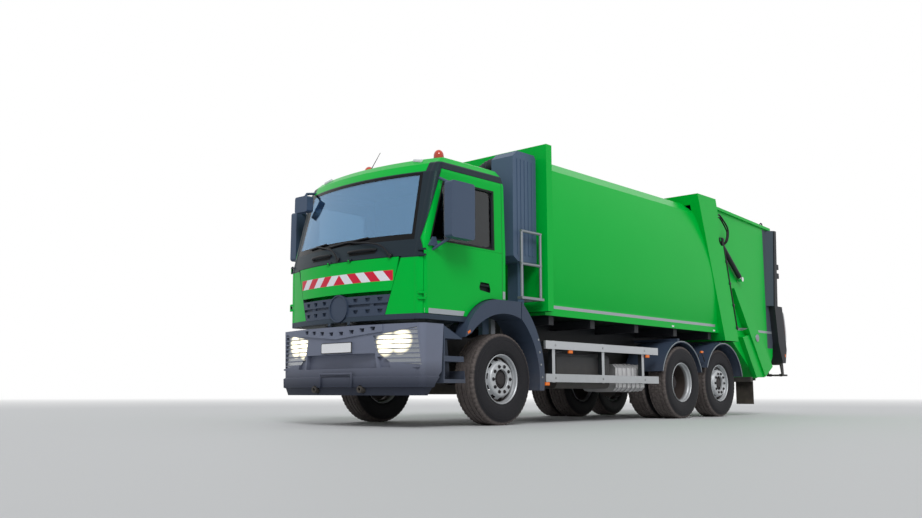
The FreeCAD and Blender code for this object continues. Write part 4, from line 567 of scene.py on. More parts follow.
# Grey film covers the rear corners, from 1.15 m up to the roof
over(hopper_green, region(tree, x=(-6, -4.075), out=(1, 2), z=(1.15, 3.27)), "#4A515C", 0.5)
finish_nodes(hopper_green, "tailgate")


# Glass. Laminated windscreen, faintly green, and toughened door panes tinted darker as painted shade, with
# the screen's black fired border and a steel-blue glossy layer that paints in a sky reflection.
def glazing(name, tint, border_and_reflection):
    """Tinted glass that lets light through to what it shades, with the screen's border and a painted sky
    reflection if asked for.
    """
    material, tree = blank_material(name)
    shader = add(tree, "ShaderNodeBsdfPrincipled",
                 {"Base Color": linear(tint), "Roughness": 0.0, "IOR": 1.5, "Transmission Weight": 1.0})
    clear = add(tree, "ShaderNodeBsdfTransparent", {"Color": linear(tint)})
    shadow = add(tree, "ShaderNodeLightPath").outputs["Is Shadow Ray"]
    mix = add(tree, "ShaderNodeMixShader", {0: shadow, 1: shader, 2: clear})
    if border_and_reflection:
        # A blue glossy layer paints in a reflection of the sky
        painted_sky_reflection = add(tree, "ShaderNodeBsdfGlossy", {"Color": linear("#8ABAE6"), "Roughness": 0.03})
        mix = add(tree, "ShaderNodeMixShader", {0: 0.29, 1: mix, 2: painted_sky_reflection})
        out, z = place_in(tree)[1:]
        # The sides close in by 50 mm over the screen's 790 mm of height
        side = add(tree, "ShaderNodeMath", {"operation": "MULTIPLY_ADD", 0: z, 1: 0.063, 2: out})
        side = add(tree, "ShaderNodeMath", {"operation": "GREATER_THAN", 0: side, 1: 1.1})
        off = add(tree, "ShaderNodeMath", {"operation": "SUBTRACT", 0: 1.0, 1: region(tree, z=(2.1, 2.79))})
        edge = add(tree, "ShaderNodeMath", {"operation": "MAXIMUM", 0: side, 1: off})
        frit = add(tree, "ShaderNodeBsdfPrincipled",
                   {"Base Color": linear("#0C0D10"), "Roughness": 0.2, "Specular IOR Level": 0.15})
        mix = add(tree, "ShaderNodeMixShader", {0: edge, 1: mix, 2: frit})
    add(tree, "ShaderNodeOutputMaterial", {"Surface": mix})
    return material


finish_nodes(glazing("laminated_glass", "#D3E2E4", True), "windscreen")
# The door panes are tinted glass, darkened further as painted shade of the dark cab seen through them
finish_nodes(glazing("toughened_glass", "#4C6170", False), "door_glass_left", "door_glass_right")


# Headlamps. A clear polycarbonate lens moulded with upright flutes, over two warm reflectors, lit, and a
# chromed bowl. The reflectors stand 0.2 m apart, and each glows out to 0.15 m from its centre.
lamp_glow, tree = blank_material("headlamp_lens")
out, z = place_in(tree)[1:]
cell = add(tree, "ShaderNodeMath", {"operation": "SUBTRACT", 0: out, 1: 0.81})
cell = add(tree, "ShaderNodeMath", {"operation": "ABSOLUTE", 0: cell})
cell = add(tree, "ShaderNodeMath", {"operation": "SUBTRACT", 0: cell, 1: 0.1})
rise = add(tree, "ShaderNodeMath", {"operation": "MULTIPLY_ADD", 0: out, 1: -0.12, 2: z})
rise = add(tree, "ShaderNodeMath", {"operation": "SUBTRACT", 0: rise, 1: 0.815})
flat = add(tree, "ShaderNodeCombineXYZ", {"X": cell, "Y": rise})
reach = add(tree, "ShaderNodeVectorMath", {"operation": "LENGTH", 0: flat}).outputs["Value"]
glow = add(tree, "ShaderNodeMapRange",
           {"From Min": 0.15, "From Max": 0.03, "To Min": 0.0, "To Max": 4.5, "Value": reach})
place = add(tree, "ShaderNodeTexCoord").outputs["Object"]
flutes = add(tree, "ShaderNodeTexWave", {"Scale": 40.0, "bands_direction": "Y", "Vector": place})
bump = add(tree, "ShaderNodeBump", {"Strength": 0.25, "Distance": 0.002, "Height": flutes.outputs["Fac"]})
shader = add(tree, "ShaderNodeBsdfPrincipled",
             {"Base Color": linear("#8F949B"), "Metallic": 0.6, "Roughness": 0.16, "Coat Weight": 1.0,
              "Emission Color": linear("#FFF3C8"), "Emission Strength": glow, "Normal": bump})
add(tree, "ShaderNodeOutputMaterial", {"Surface": shader})
finish_nodes(lamp_glow, "headlamps")


# Beacons. Moulded amber acrylic on black feet, screwed to the roof. The taller domes are added with
# the roof's other fittings.
amber = coated("amber_acrylic", "#C8340A", 0.12, coat=0.8, dirt_most=0.0, spread=0.12)
over(amber, region(amber.node_tree, z=(0, 3.088)), "#15161A", 0.5)
finish_nodes(amber, "beacons")


# Packer, lifter and small parts. Wear steel rubbed bright by the load, a lifter in dark enamel, hard-chromed
# rods, moulded rubber mud flaps and a grained plastic dashboard.
worn_steel = coated("worn_steel", "#7C7E7D", 0.45, metallic=0.85, dirt_most=0.7, dirt_top=4.0, grain_mm=8.0,
                    grain=0.2)
finish_nodes(worn_steel, "packer_carriage", "packer_blade")
finish_nodes(coated("lifter_enamel", "#33373D", 0.5, dirt_most=0.5, dirt_top=1.5), "bin_lifter")
finish_nodes(chassis_enamel, "lift_barrels")
chrome = coated("hard_chrome", "#D5D8DA", 0.12, metallic=1.0, dirt_most=0.05)
finish_nodes(chrome, "lift_rods")
finish_nodes(coated("flap_rubber", "#16181B", 0.75, dirt_most=0.5), "mud_flaps")
dash_plastic = coated("dash_plastic", "#25272B", 0.6, dirt_most=0.0)
finish_nodes(dash_plastic, "dashboard")


# Front panel stripes. Red and white retroreflective film cut to slanted bars either side of a red triangle,
# laid on the flap; the film also marks the door sills and the cab's rear corners in plain silver.
skins = {}


def skin(node):
    """The surface of a node for laying thin parts on."""
    if node not in skins:
        held = nodes[node]
        points = [held.matrix_world @ v.co for v in held.data.vertices]
        skins[node] = BVHTree.FromPolygons(points, [tuple(p.vertices) for p in held.data.polygons])
    return skins[node]


def laid(name, quads, view, node, lift, body, material, cell=60.0, start=None):
    """A thin sheet of quads cast along a view on to a node, which it stands off by lift millimetres.
    Each quad has four corners (across, z), where across is y from the front or rear and x from a side."""
    toward = {"front": Vector((1, 0, 0)), "rear": Vector((-1, 0, 0)), "left": Vector((0, 1, 0)),
              "right": Vector((0, -1, 0))}[view]
    work = bmesh.new()
    for quad in quads:
        wide = max(abs(quad[1][0] - quad[0][0]), abs(quad[2][0] - quad[3][0]))
        tall = max(abs(quad[3][1] - quad[0][1]), abs(quad[2][1] - quad[1][1]))
        nu = max(1, math.ceil(wide / cell))
        nv = max(1, math.ceil(tall / cell))
        grid = []
        for i in range(nu + 1):
            u = i / nu
            low = [quad[0][k] * (1 - u) + quad[1][k] * u for k in (0, 1)]
            high = [quad[3][k] * (1 - u) + quad[2][k] * u for k in (0, 1)]
            column = []
            for j in range(nv + 1):
                v = j / nv
                a, z = [low[k] * (1 - v) + high[k] * v for k in (0, 1)]
                source = spot(start or 6000 * toward.x, a, z) if toward.x else spot(a, 2000 * toward.y, z)
                hit, normal, _, _ = skin(node).ray_cast(source, -toward)
                if hit is None:
                    column.append(None)
                    continue
                if normal.dot(toward) < 0:
                    normal = -normal
                column.append(work.verts.new(hit + normal * lift / 1000))
            grid.append(column)
        for i in range(nu):
            for j in range(nv):
                corners = [grid[i][j], grid[i + 1][j], grid[i + 1][j + 1], grid[i][j + 1]]
                if all(corners):
                    work.faces.new(corners).smooth = True
    work.normal_update()
    for face in work.faces:
        if face.normal.dot(toward) < 0:
            face.normal_flip()
    return piece(name, kept(work), body, material)


def oblong(left, right, bottom, top):
    """The four corners of an upright outline."""
    return [(left, bottom), (right, bottom), (right, top), (left, top)]


def film(name, colour, metallic=0.0):
    """Retroreflective film: a bright even colour under clear skin with a fine honeycomb."""
    material, tree = blank_material(name)
    place = add(tree, "ShaderNodeTexCoord").outputs["Object"]
    comb = add(tree, "ShaderNodeTexVoronoi",
               {"Scale": 380.0, "feature": "DISTANCE_TO_EDGE", "Vector": place})
    line = add(tree, "ShaderNodeMapRange",
               {"From Max": 0.12, "To Min": 0.86, "To Max": 1.0, "Value": comb.outputs["Distance"]})
    tint = add(tree, "ShaderNodeVectorMath", {"operation": "SCALE", 0: linear(colour)[:3], "Scale": line})
    shader = add(tree, "ShaderNodeBsdfPrincipled", {"Roughness": 0.32, "Metallic": metallic,
                                                    "Specular IOR Level": 0.25, "Base Color": tint})
    add(tree, "ShaderNodeOutputMaterial", {"Surface": shader})
    return material


red_film = film("red_film", "#D5143A")
white_film = film("white_film", "#E9EAF2")
silver_film = film("silver_film", "#A3AAB0", metallic=0.35)
# Six bars a side, 141 mm apart and leaning 107 mm, are drawn 845 mm wide and laid on 790 mm
LOW, HIGH = 1590.0, 1703.0
STEP, LEAN, SPAN = 141.0, 107.0, 845.0
shrink = 790.0 / SPAN
red_bars = [[(-LEAN * shrink, LOW), (0, LOW), (0, HIGH), (0, HIGH)],
            [(0, LOW), (LEAN * shrink, LOW), (0, HIGH), (0, HIGH)]]
white_bars = []
for side, hand in SIDES:
    for k in range(6):
        top = [k * STEP, SPAN if k == 5 else (k + 1) * STEP]
        low = [min(k * STEP + LEAN, SPAN), min((k + 1) * STEP + LEAN, SPAN)]
        bar = [(low[0], LOW), (low[1], LOW), (top[1], HIGH), (top[0], HIGH)]
        (white_bars if k % 2 == 0 else red_bars).append([(a * shrink * side, z) for a, z in bar])
laid("stripes_red", red_bars, "front", "front_flap", 0.8, "front_flap", red_film)
laid("stripes_white", white_bars, "front", "front_flap", 0.8, "front_flap", white_film)
for side, hand in SIDES:
    strip = [[(3930, 1222), (4536, 1222), (4536, 1278), (3905, 1278)]]
    laid(f"sill_film_{hand}", strip, hand, f"door_{hand}", 0.8, f"door_{hand}", silver_film)
    label = oblong(3186, 3230, 1466, 1556)
    laid(f"cab_label_{hand}", [label], hand, "cab_shell", 0.8, "cab", silver_film)


# Door window seals. Extruded black rubber pushed over the edge of the window opening, with the pane
# behind it, whose corners are rounded by fired black.
seal_rubber = coated("seal_rubber", "#111316", 0.6, dirt_most=0.1)
WINDOW = [Vector(corner) for corner in ((4440, 2050), (4235, 2720), (3400, 2720), (3400, 2050))]


def frame_quads(points, width):
    """Quads of an even width around an outline that runs anticlockwise, on its outer side."""
    count = len(points)
    outer = []
    for i in range(count):
        before = points[i] - points[i - 1]
        after = points[(i + 1) % count] - points[i]
        normals = [Vector((v.y, -v.x)).normalized() for v in (before, after)]
        across = (normals[0] + normals[1]).normalized()
        outer.append(points[i] + across * width / max(0.3, across.dot(normals[0])))
    return [[points[i], points[(i + 1) % count], outer[(i + 1) % count], outer[i]] for i in range(count)]


def corner_fans(points, reach):
    """Thin fans that round the inner corners of an outline, starting a reach away from each corner."""
    fans = []
    for i, tip in enumerate(points):
        first = tip + (points[i - 1] - tip).normalized() * reach
        last = tip + (points[(i + 1) % len(points)] - tip).normalized() * reach
        curve = []
        for t in [k / 6 for k in range(7)]:
            curve.append(first * (1 - t) ** 2 + tip * 2 * t * (1 - t) + last * t * t)
        fans += [[tip, a, b, tip] for a, b in zip(curve, curve[1:])]
    return fans


for side, hand in SIDES:
    door = f"door_{hand}"
    laid(f"window_seal_{hand}", frame_quads(WINDOW, 22), hand, door, 1.5, door, seal_rubber)
    laid(f"pane_corners_{hand}", corner_fans(WINDOW, 150), hand, f"door_glass_{hand}", 1.0, door,
         seal_rubber, cell=400)


# Number plate. A blank white plate pressed from sheet aluminium and covered in film, left without letters,
# clipped in a black moulded holder on the bumper's pad.
def slab(points, thick):
    """A flat outline of points given thickness along a vector, closed and facing outwards."""
    count = len(points)
    faces = [tuple(range(count)), tuple(range(count, 2 * count))]
    faces += [(i, (i + 1) % count, (i + 1) % count + count, i + count) for i in range(count)]
    mesh = bpy.data.meshes.new("slab")
    mesh.from_pydata(points + [p + thick for p in points], [], faces)
    return outward(mesh)


def rounded(made, mm):
    """Rounds a piece's edges."""
    edge = made.modifiers.new("round", "BEVEL")
    edge.width = mm / 1000
    edge.segments = 2
    edge.limit_method = "ANGLE"


def card(x0, x1, half, z0, z1):
    """A plate across the truck with corners of 12 mm."""
    points = []
    for cy, cz, first in ((half - 12, z0 + 12, -90), (half - 12, z1 - 12, 0), (12 - half, z1 - 12, 90),
                          (12 - half, z0 + 12, 180)):
        for step in range(4):
            a = math.radians(first + step * 30)
            points.append(spot(x0, cy + 12 * math.cos(a), cz + 12 * math.sin(a)))
    return slab(points, spot(x1, 0, 0) - spot(x0, 0, 0))


plate_paint = film("plate_white", "#E8EAEE")
piece("plate_holder", card(4786.5, 4795.5, 262, 812, 932), "chassis", dark_moulded)
piece("plate_blank", card(4795.5, 4797.5, 254, 820, 924), "chassis", plate_paint)


# Wipers. Two arms of pressed and blackened steel on spindles below the screen, with sprung rubber blades,
# parked low.
def skinned(work, rings):
    """Joins rings of vertices into a smooth tube with closed ends."""
    count = len(rings[0])
    for a, b in zip(rings, rings[1:]):
        for k in range(count):
            work.faces.new((a[k], a[(k + 1) % count], b[(k + 1) % count], b[k])).smooth = True
    work.faces.new(rings[0])
    work.faces.new(rings[-1])


def along(paths, radius, sides=10):
    """Round rods along paths of drawing points, with closed ends and one radius in millimetres or a list."""
    work = bmesh.new()
    for path in paths:
        points = [spot(*p) for p in path]
        rings = []
        side_dir = None
        for i, p in enumerate(points):
            ahead = (points[min(i + 1, len(points) - 1)] - points[max(i - 1, 0)]).normalized()
            if side_dir is None:
                side_dir = ahead.orthogonal().normalized()
            side_dir = (side_dir - ahead * side_dir.dot(ahead)).normalized()
            other = ahead.cross(side_dir)
            r = (radius[i] if isinstance(radius, list) else radius) / 1000
            rings.append([work.verts.new(p + (side_dir * math.cos(a) + other * math.sin(a)) * r)
                          for a in [2 * math.pi * k / sides for k in range(sides)]])
        skinned(work, rings)
    bmesh.ops.recalc_face_normals(work, faces=work.faces)
    return kept(work)


def bowed(points, steps):
    """A smooth path through given points."""
    path = []
    last = len(points) - 1
    for i in range(last):
        p0, p1, p2, p3 = [Vector(points[min(max(k, 0), last)]) for k in range(i - 1, i + 3)]
        for t in [s / steps for s in range(steps)]:
            path.append(0.5 * ((2 * p1) + (p2 - p0) * t + (2 * p0 - 5 * p1 + 4 * p2 - p3) * t * t
                               + (3 * p1 - p0 - 3 * p2 + p3) * t * t * t))
    path.append(Vector(points[-1]))
    return path


def front_at(node, y, z, out):
    """A drawing point standing off a node's front by out millimetres."""
    hit = skin(node).ray_cast(spot(6000, y, z), Vector((-1, 0, 0)))[0]
    return (hit.x * 1000 + 6.0 + out, y, z)


wiper_black = coated("wiper_black", "#131418", 0.45, dirt_most=0.0)
arms = []
blades = []
spindles = []
# For each wiper its spindle's y and z, and its blade's two ends
for y, z, low, high in ((-14, 1882, (-661, 2078), (-310, 2100)), (764, 1860, (-225, 2052), (410, 2098))):
    middle = ((low[0] + high[0]) / 2, (low[1] + high[1]) / 2)
    arms.append(bowed([front_at("cab_shell", y, z, -4), front_at("cab_shell", y, z, 22),
                       front_at("cab_shell", y * 0.75 + middle[0] * 0.25, 2000, 46),
                       front_at("windscreen", *middle, 34)], 6))
    blades.append([front_at("windscreen", low[0] + (high[0] - low[0]) * k / 8,
                            low[1] + (high[1] - low[1]) * k / 8, 14) for k in range(9)])
    spindles.append([front_at("cab_shell", y, z, -6), front_at("cab_shell", y, z, 30)])
piece("wiper_arms", along(arms, 9), "cab", wiper_black)
piece("wiper_blades", along(blades, 11), "cab", wiper_black)
piece("wiper_spindles", along(spindles, 24, 16), "cab", wiper_black)


# Belt crease. A crease pressed along each door's steel skin under its window, in the door's paint, built as
# a slim round laid half into the skin.
for side, hand in SIDES:
    crease = []
    for x in range(3250, 4411, 58):
        hit = skin(f"door_{hand}").ray_cast(spot(x, 2000 * side, 2012), Vector((0, -side, 0)))[0]
        crease.append((x, hit.y * 1000 - 3 * side, 2012))
    piece(f"belt_crease_{hand}", along([crease], 6), f"door_{hand}", door_green)


# Band handles. Two grips of black moulded plastic, screwed down at both ends over the black band, with a
# near-black sheet under each as painted shade, for whoever wipes the screen.
BAND_GRIPS = ((-555, -180), (144, 549))
grips = []
for y0, y1 in BAND_GRIPS:
    ends = ((y0, 1945, -6), (y0 + 22, 1948, 26), ((y0 + y1) / 2, 1952, 34), (y1 - 22, 1948, 26),
            (y1, 1945, -6))
    grips.append(bowed([front_at("cab_shell", *end) for end in ends], 6))
piece("band_grips", along(grips, 15, 12), "cab", wiper_black)
# Near-black sheets under the grips are painted shade
recess_shades = [[(y0 + 10, 1905), (y1 - 10, 1905), (y1 - 2, 1938), (y0 + 2, 1938)] for y0, y1 in BAND_GRIPS]
recess_shade_black = coated("recess_shade_black", "#0B0C0E", 0.7, dirt_most=0.0)
laid("band_recess_shades", recess_shades, "front", "cab_shell", 1.0, "cab", recess_shade_black)


# Roof fittings. A whip aerial on a rubber foot, two clear marker lamps moulded into the roof's front corners
# and the amber beacons' moulded domes.
def top_at(node, x, y, up):
    """A drawing point standing above a node by up millimetres."""
    hit = skin(node).ray_cast(spot(x, y, 5000), Vector((0, 0, -1)))[0]
    return (x, y, hit.z * 1000 + up)


x, y, z = top_at("cab_shell", 4000, -392, -6)
foot = along([[(x, y, z), (x - 4, y + 8, z + 46)]], [34, 20], 14)
piece("aerial_foot", foot, "cab", wiper_black)
whip = along([[(x - 4, y + 8, z + 40), (3990, -184, 3330)]], [6, 3], 8)
piece("aerial_whip", whip, "cab", wiper_black)
marker_clear = coated("marker_clear", "#C9CFD2", 0.12, coat=1.0, dirt_most=0.0)
for side, hand in SIDES:
    path = bowed([top_at("cab_shell", 4300, 790 * side - 70 + 35 * k, 2) for k in range(5)], 3)
    bar = along([path], [8] + [24] * (len(path) - 2) + [8], 12)
    piece(f"roof_marker_{hand}", bar, "cab", marker_clear)

# A nearly straight wall from z 3092 up to 3188, then a quarter round of 76 by 62 mm
swell = [(3092, 64)]
for k in range(12):
    a = math.radians(90 * k / 12)
    swell.append((3188 + 76 * math.sin(a), 62 * math.cos(a)))
swell.append((3264, 4))
domes = [along([[(3780, y, z) for z, r in swell]], [r for z, r in swell], 32) for y in (620, -620)]
piece("beacon_domes", one_mesh(domes), "cab", amber)


# Mirrors. Silvered glass panes, a tall one over a wide-angle one, set in the rear faces of the moulded
# housings, and one pane in the front mirror.
silvered, tree = blank_material("silvered_glass")
place = add(tree, "ShaderNodeTexCoord").outputs["Object"]
haze = add(tree, "ShaderNodeTexNoise", {"Scale": 30.0, "Detail": 5.0, "Vector": place})
rough = add(tree, "ShaderNodeMapRange", {"To Min": 0.02, "To Max": 0.09, "Value": haze})
shader = add(tree, "ShaderNodeBsdfPrincipled",
             {"Base Color": linear("#C9CED2"), "Metallic": 1.0, "Roughness": rough})
add(tree, "ShaderNodeOutputMaterial", {"Surface": shader})
for side, hand in SIDES:
    panes = [oblong(1314 * side, 1396 * side, low, high) for low, high in ((2260, 2650), (2060, 2240))]
    laid(f"mirror_glass_{hand}", panes, "rear", f"mirror_{hand}", 1.2, f"door_{hand}",
         silvered, start=3900)
pane = oblong(-1104, -896, 2612, 2788)
laid("mirror_glass_front", [pane], "rear", "front_mirror", 1.2, "cab", silvered, start=4380)


# Seats. Sprung cushions in woven cloth: stuffed squabs and backs with bolstered sides, piped seams and a
# separate headrest, on moulded bases that stand where the part's seats do.
cloth, tree = blank_material("woven_seat_cloth")
place = add(tree, "ShaderNodeTexCoord").outputs["Object"]
# Threads cross every 1.4 mm
across = add(tree, "ShaderNodeTexWave", {"Scale": 220.0, "bands_direction": "Y", "Vector": place})
upward = add(tree, "ShaderNodeTexWave", {"Scale": 220.0, "bands_direction": "Z", "Vector": place})
weave = add(tree, "ShaderNodeMath",
            {"operation": "MULTIPLY", 0: across.outputs["Fac"], 1: upward.outputs["Fac"]})
shade = add(tree, "ShaderNodeMapRange", {"To Min": 0.75, "To Max": 1.1, "Value": weave})
tint = add(tree, "ShaderNodeVectorMath", {"operation": "SCALE", 0: linear("#3A3F4A")[:3], "Scale": shade})
bump = add(tree, "ShaderNodeBump", {"Strength": 0.4, "Distance": 0.0006, "Height": weave})
shader = add(tree, "ShaderNodeBsdfPrincipled",
             {"Roughness": 0.9, "Sheen Weight": 0.35, "Base Color": tint, "Normal": bump})
add(tree, "ShaderNodeOutputMaterial", {"Surface": shader})


def pillow(outline, y0, y1, bolster):
    """A stuffed form on a side outline: full in the middle, with raised bolsters along both sides and a
    sunk seam inboard of each."""
    work = bmesh.new()
    path = bowed([(x, 0.0, z) for x, z in outline + outline[:1]], 6)[:-1]
    count = len(path)
    centre = Vector((sum(p[0] for p in path) / count, 0, sum(p[2] for p in path) / count))
    rings = []
    for t in [k / 26 for k in range(27)]:
        edge = abs(2 * t - 1)
        full = (1 - edge ** 6) ** 0.25 if edge < 1 else 0.0
        seam = 0.5 * math.exp(-((edge - 0.62) / 0.05) ** 2) - 0.9 * math.exp(-((edge - 0.82) / 0.12) ** 2)
        ring = []
        for p in path:
            out = p - centre
            size = (0.72 + 0.28 * full) * (out.length - bolster * seam) / out.length
            moved = centre + out * size
            ring.append(work.verts.new(spot(moved.x, y0 + (y1 - y0) * t, moved.z)))
        rings.append(ring)
    skinned(work, rings)
    bmesh.ops.recalc_face_normals(work, faces=work.faces)
    return kept(work)


SEAT_FORMS = {
    "squab": [(3530, 1480), (3540, 1600), (3800, 1622), (4070, 1622), (4096, 1560), (4060, 1474),
              (3800, 1470)],
    "backrest": [(3578, 1600), (3650, 1606), (3600, 1860), (3500, 2210), (3462, 2228), (3404, 2210),
                 (3480, 1880)],
    "headrest": [(3400, 2252), (3470, 2246), (3476, 2330), (3462, 2414), (3400, 2416), (3384, 2330)],
}
made = []
for y, hand in ((260, "left"), (-780, "right")):
    for form, outline in SEAT_FORMS.items():
        inset, bolster = (110, 0) if form == "headrest" else (4, 26)
        mesh = pillow(outline, y + inset, y + 520 - inset, bolster)
        cushion = piece(f"seat_{form}_{hand}", mesh, "cab", cloth)
        made.append(cushion)
    base = [spot(x, y + 60, z) for x, z in ((3580, 1210), (4040, 1210), (4070, 1450), (3560, 1450))]
    base = slab(base, Vector((0, 0.4, 0)))
    made.append(piece(f"seat_base_{hand}", base, "cab", dash_plastic))
    rounded(made[-1], 18)
    posts = along([[(3420, y + 260 + d, 2200), (3432, y + 260 + d, 2270)] for d in (-70, 70)], 8)
    made.append(piece(f"headrest_posts_{hand}", posts, "cab", chrome))
for part in made:
    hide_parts("seats")
papers = [spot(x, y, 1984) for x, y in ((4240, 250), (4330, 230), (4370, 620), (4280, 640))]
piece("dash_papers", slab(papers, Vector((0.0, 0.0, 0.003))), "cab", plate_paint)


# Air intake stack. A ribbed bellows of moulded rubber leads from the stack's head across behind the cab and
# down to the engine, clipped at both ends.
def ribbed(path, radius, pitch, deep):
    """A corrugated hose: a round tube whose radius swells once every pitch."""
    fine = []
    for a, b in zip(path, path[1:]):
        steps = max(1, round((b - a).length / (pitch / 4)))
        fine += [a + (b - a) * k / steps for k in range(steps)]
    fine.append(path[-1])
    travel = 0.0
    widths = []
    for k, p in enumerate(fine):
        if k:
            travel += (p - fine[k - 1]).length
        widths.append(radius - deep * (0.5 - 0.5 * math.cos(2 * math.pi * travel / pitch)))
    return along([fine], widths, 20)


stack_rubber = coated("stack_rubber", "#2E3138", 0.6, dirt_most=0.1)
route = [(2700, 930, 3270), (2700, 740, 3288), (2700, 480, 3262), (2700, 300, 3120), (2690, 240, 2800)]
piece("stack_bellows", ribbed(bowed(route, 10), 96, 44, 16), "chassis", stack_rubber)


# Body film and lamps. Silver marking film along the load body and tailgate, amber side markers under the
# rails, a marker between the rear guards and reflectors on the front wings.
for side, hand in SIDES:
    strip = [[(-2080, 1420), (2352, 1420), (2352, 1460), (-2088, 1460)]]
    laid(f"body_film_{hand}", strip, hand, "load_body", 1.0, "chassis", silver_film, cell=200)
    tabs = [oblong(x - 32, x + 32, 1350, 1374) for x in (-739, -2043)]
    laid(f"body_tabs_{hand}", tabs, hand, "load_body", 1.2, "chassis", white_film)
    strip = [[(-3100, 1412), (-2770, 1412), (-2780, 1452), (-3122, 1452)],
             [(-4270, 1412), (-3520, 1412), (-3500, 1452), (-4270, 1452)]]
    laid(f"tailgate_film_{hand}", strip, hand, "tailgate", 1.0, "tailgate", silver_film,
         cell=200)

marker_amber = coated("marker_amber", "#F07408", 0.15, coat=0.3, dirt_most=0.0, spread=0.15)
for side, hand in SIDES:
    lamps = []
    for x, z in ((1973, 884), (109, 884), (2470, 480)):
        points = [spot(a, 1198 * side, b) for a, b in oblong(x - 42, x + 42, z - 18, z + 22)]
        lamps.append(slab(points, Vector((0, 0.026 * side, 0))))
    points = [spot(a, 1196 * side, b) for a, b in oblong(-1538, -1462, 984, 1016)]
    lamps.append(slab(points, Vector((0, 0.03 * side, 0))))
    made = piece(f"side_markers_{hand}", one_mesh(lamps), "chassis", marker_amber)
    rounded(made, 6)
    stays = [[(x, 1196 * side, low), (x, 1196 * side, high)]
             for x, low, high in ((1973, 900, 930), (109, 900, 930), (2470, 490, 530))]
    stays.append([(-1500, 1204 * side, 1000), (-1462, 1204 * side, 1012), (-1400, 1204 * side, 920)])
    stays.append([(-1500, 1204 * side, 1000), (-1560, 1204 * side, 940), (-1600, 1204 * side, 860)])
    piece(f"marker_stays_{hand}", along(stays, 8, 8), "chassis", chassis_enamel)
    cat = [[(3884, 1044), (3928, 1022), (3938, 1046), (3896, 1070)]]
    laid(f"wing_reflector_{hand}", cat, hand, "cab_wings", 1.2, "cab", marker_amber)


# Guard edging. A pale extruded rubber bead, clipped along the outer lip of each rear guard over the drive
# and tag wheels.
def arc_points(x, z, radius, start, end, y, steps):
    """Points around an arc across the truck, from one angle to another in degrees above straight ahead."""
    points = []
    for k in range(steps + 1):
        a = math.radians(start + (end - start) * k / steps)
        points.append((x + radius * math.cos(a), y, z + radius * math.sin(a)))
    return points


bead_rubber = coated("bead_rubber", "#8E9398", 0.55, dirt_most=0.3)
for side, hand in SIDES:
    paths = [arc_points(AXLES["drive"], WHEEL_Z, 604, 165, 15, 1238 * side, 40),
             arc_points(AXLES["tag"], WHEEL_Z, 628, 170, 22, 1238 * side, 40)]
    piece(f"guard_bead_{hand}", along(paths, 8, 8), "chassis", bead_rubber)


# Tank caps. A filler cap of dark moulded plastic, screwed on a short neck in each tank's top, at the
# outer side.
for side, hand in SIDES:
    cap = [[(1960, 1000 * side, low), (1960, 1000 * side, high)] for low, high in ((872, 896), (894, 906))]
    piece(f"tank_cap_{hand}", along(cap, 52, 24), "chassis", dark_moulded)


# Lift hydraulics. Two rubber hoses loop from the frame's upper corner to each lift cylinder, and a steel feed
# line in a black sleeve runs down the rear edge of the frame to the lower clamp.
hose_rubber = coated("hose_rubber", "#121316", 0.5, dirt_most=0.2)


def ring_edge(z):
    """The x of the slanted frame's rear edge at a height, 615 mm further back at the foot than at the top."""
    return -2715 + (z - 1208) * 615 / 2292


for side, hand in SIDES:
    hoses = []
    for gap in (0, 44):
        start = ring_edge(3230) + 30
        route = [(start, 1236 * side, 3230 - gap), (start - 90, 1246 * side, 3250 - gap),
                 (-2470 + gap, 1252 * side, 3090 - gap), (-2480 + gap, 1262 * side, 2960),
                 (-2440 + gap, 1256 * side, 2850), (-2400 + gap / 2, 1222 * side, 2790)]
        hoses.append(bowed(route, 8))
    mesh = along(hoses, 13)
    mesh.materials.append(hose_rubber)
    hose = stand(f"lift_hoses_{hand}", mesh)
    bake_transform(hose)
    line = [(ring_edge(z) - 24, 1236 * side, z) for z in (2870, 2600, 2200, 1800, 1400)]
    piece(f"lift_line_{hand}", along([line], 26, 12), "chassis", hose_rubber)
    clamps = [[(ring_edge(z) - 52, 1236 * side, z), (ring_edge(z) + 12, 1236 * side, z)]
              for z in (2860, 2500, 2150, 1800, 1440)]
    piece(f"line_clamps_{hand}", along(clamps, 30), "chassis", chassis_enamel)


# Shoulder plates. Green doubler plates welded over the load body's upper corners, where they meet the
# slanted frame.
for side, hand in SIDES:
    corners = ((-1606, 1122, 3212), (-1384, 1122, 3212), (-1370, 938, 3377), (-1552, 938, 3377))
    up = Vector((0, 0.667 * side, 0.745)) * 0.008
    plate = slab([spot(x, y * side, z) - up * 0.5 for x, y, z in corners], up)
    piece(f"shoulder_plate_{hand}", plate, "chassis", panel_green)


# Tailgate fittings. A grease cap on each beam, welded lifting eyes on the roof's rear corners, and grab
# rails and working lamps on the rear posts.
cap_zinc = coated("cap_zinc", "#8B9196", 0.4, metallic=0.8, dirt_most=0.3)
for side, hand in SIDES:
    cap = along([[(-3420, 1240 * side, 1299), (-3420, 1262 * side, 1299)]], 62, 28)
    piece(f"beam_cap_{hand}", cap, "tailgate", cap_zinc)
    ring = along([arc_points(-4270, 3380, 46, -60, 240, 1040 * side, 24)], 11)
    piece(f"lifting_eye_{hand}", ring, "tailgate", chassis_enamel)
    bends = ((-4560, 1800), (-4640, 1780), (-4700, 1500), (-4700, 1300), (-4640, 1230), (-4596, 1225))
    rail = along([bowed([(x, 1206 * side, z) for x, z in bends], 6)], 15, 12)
    piece(f"grab_rail_{hand}", rail, "tailgate", aluminium)
    lamps = []
    for z in (2460, 2620):
        points = [spot(a, 1150 * side, b) for a, b in oblong(-4482, -4390, z - 48, z + 48)]
        lamps.append(slab(points, Vector((0, 0.09 * side, 0))))
    made = piece(f"work_lamps_{hand}", one_mesh(lamps), "tailgate", dark_moulded)
    rounded(made, 8)


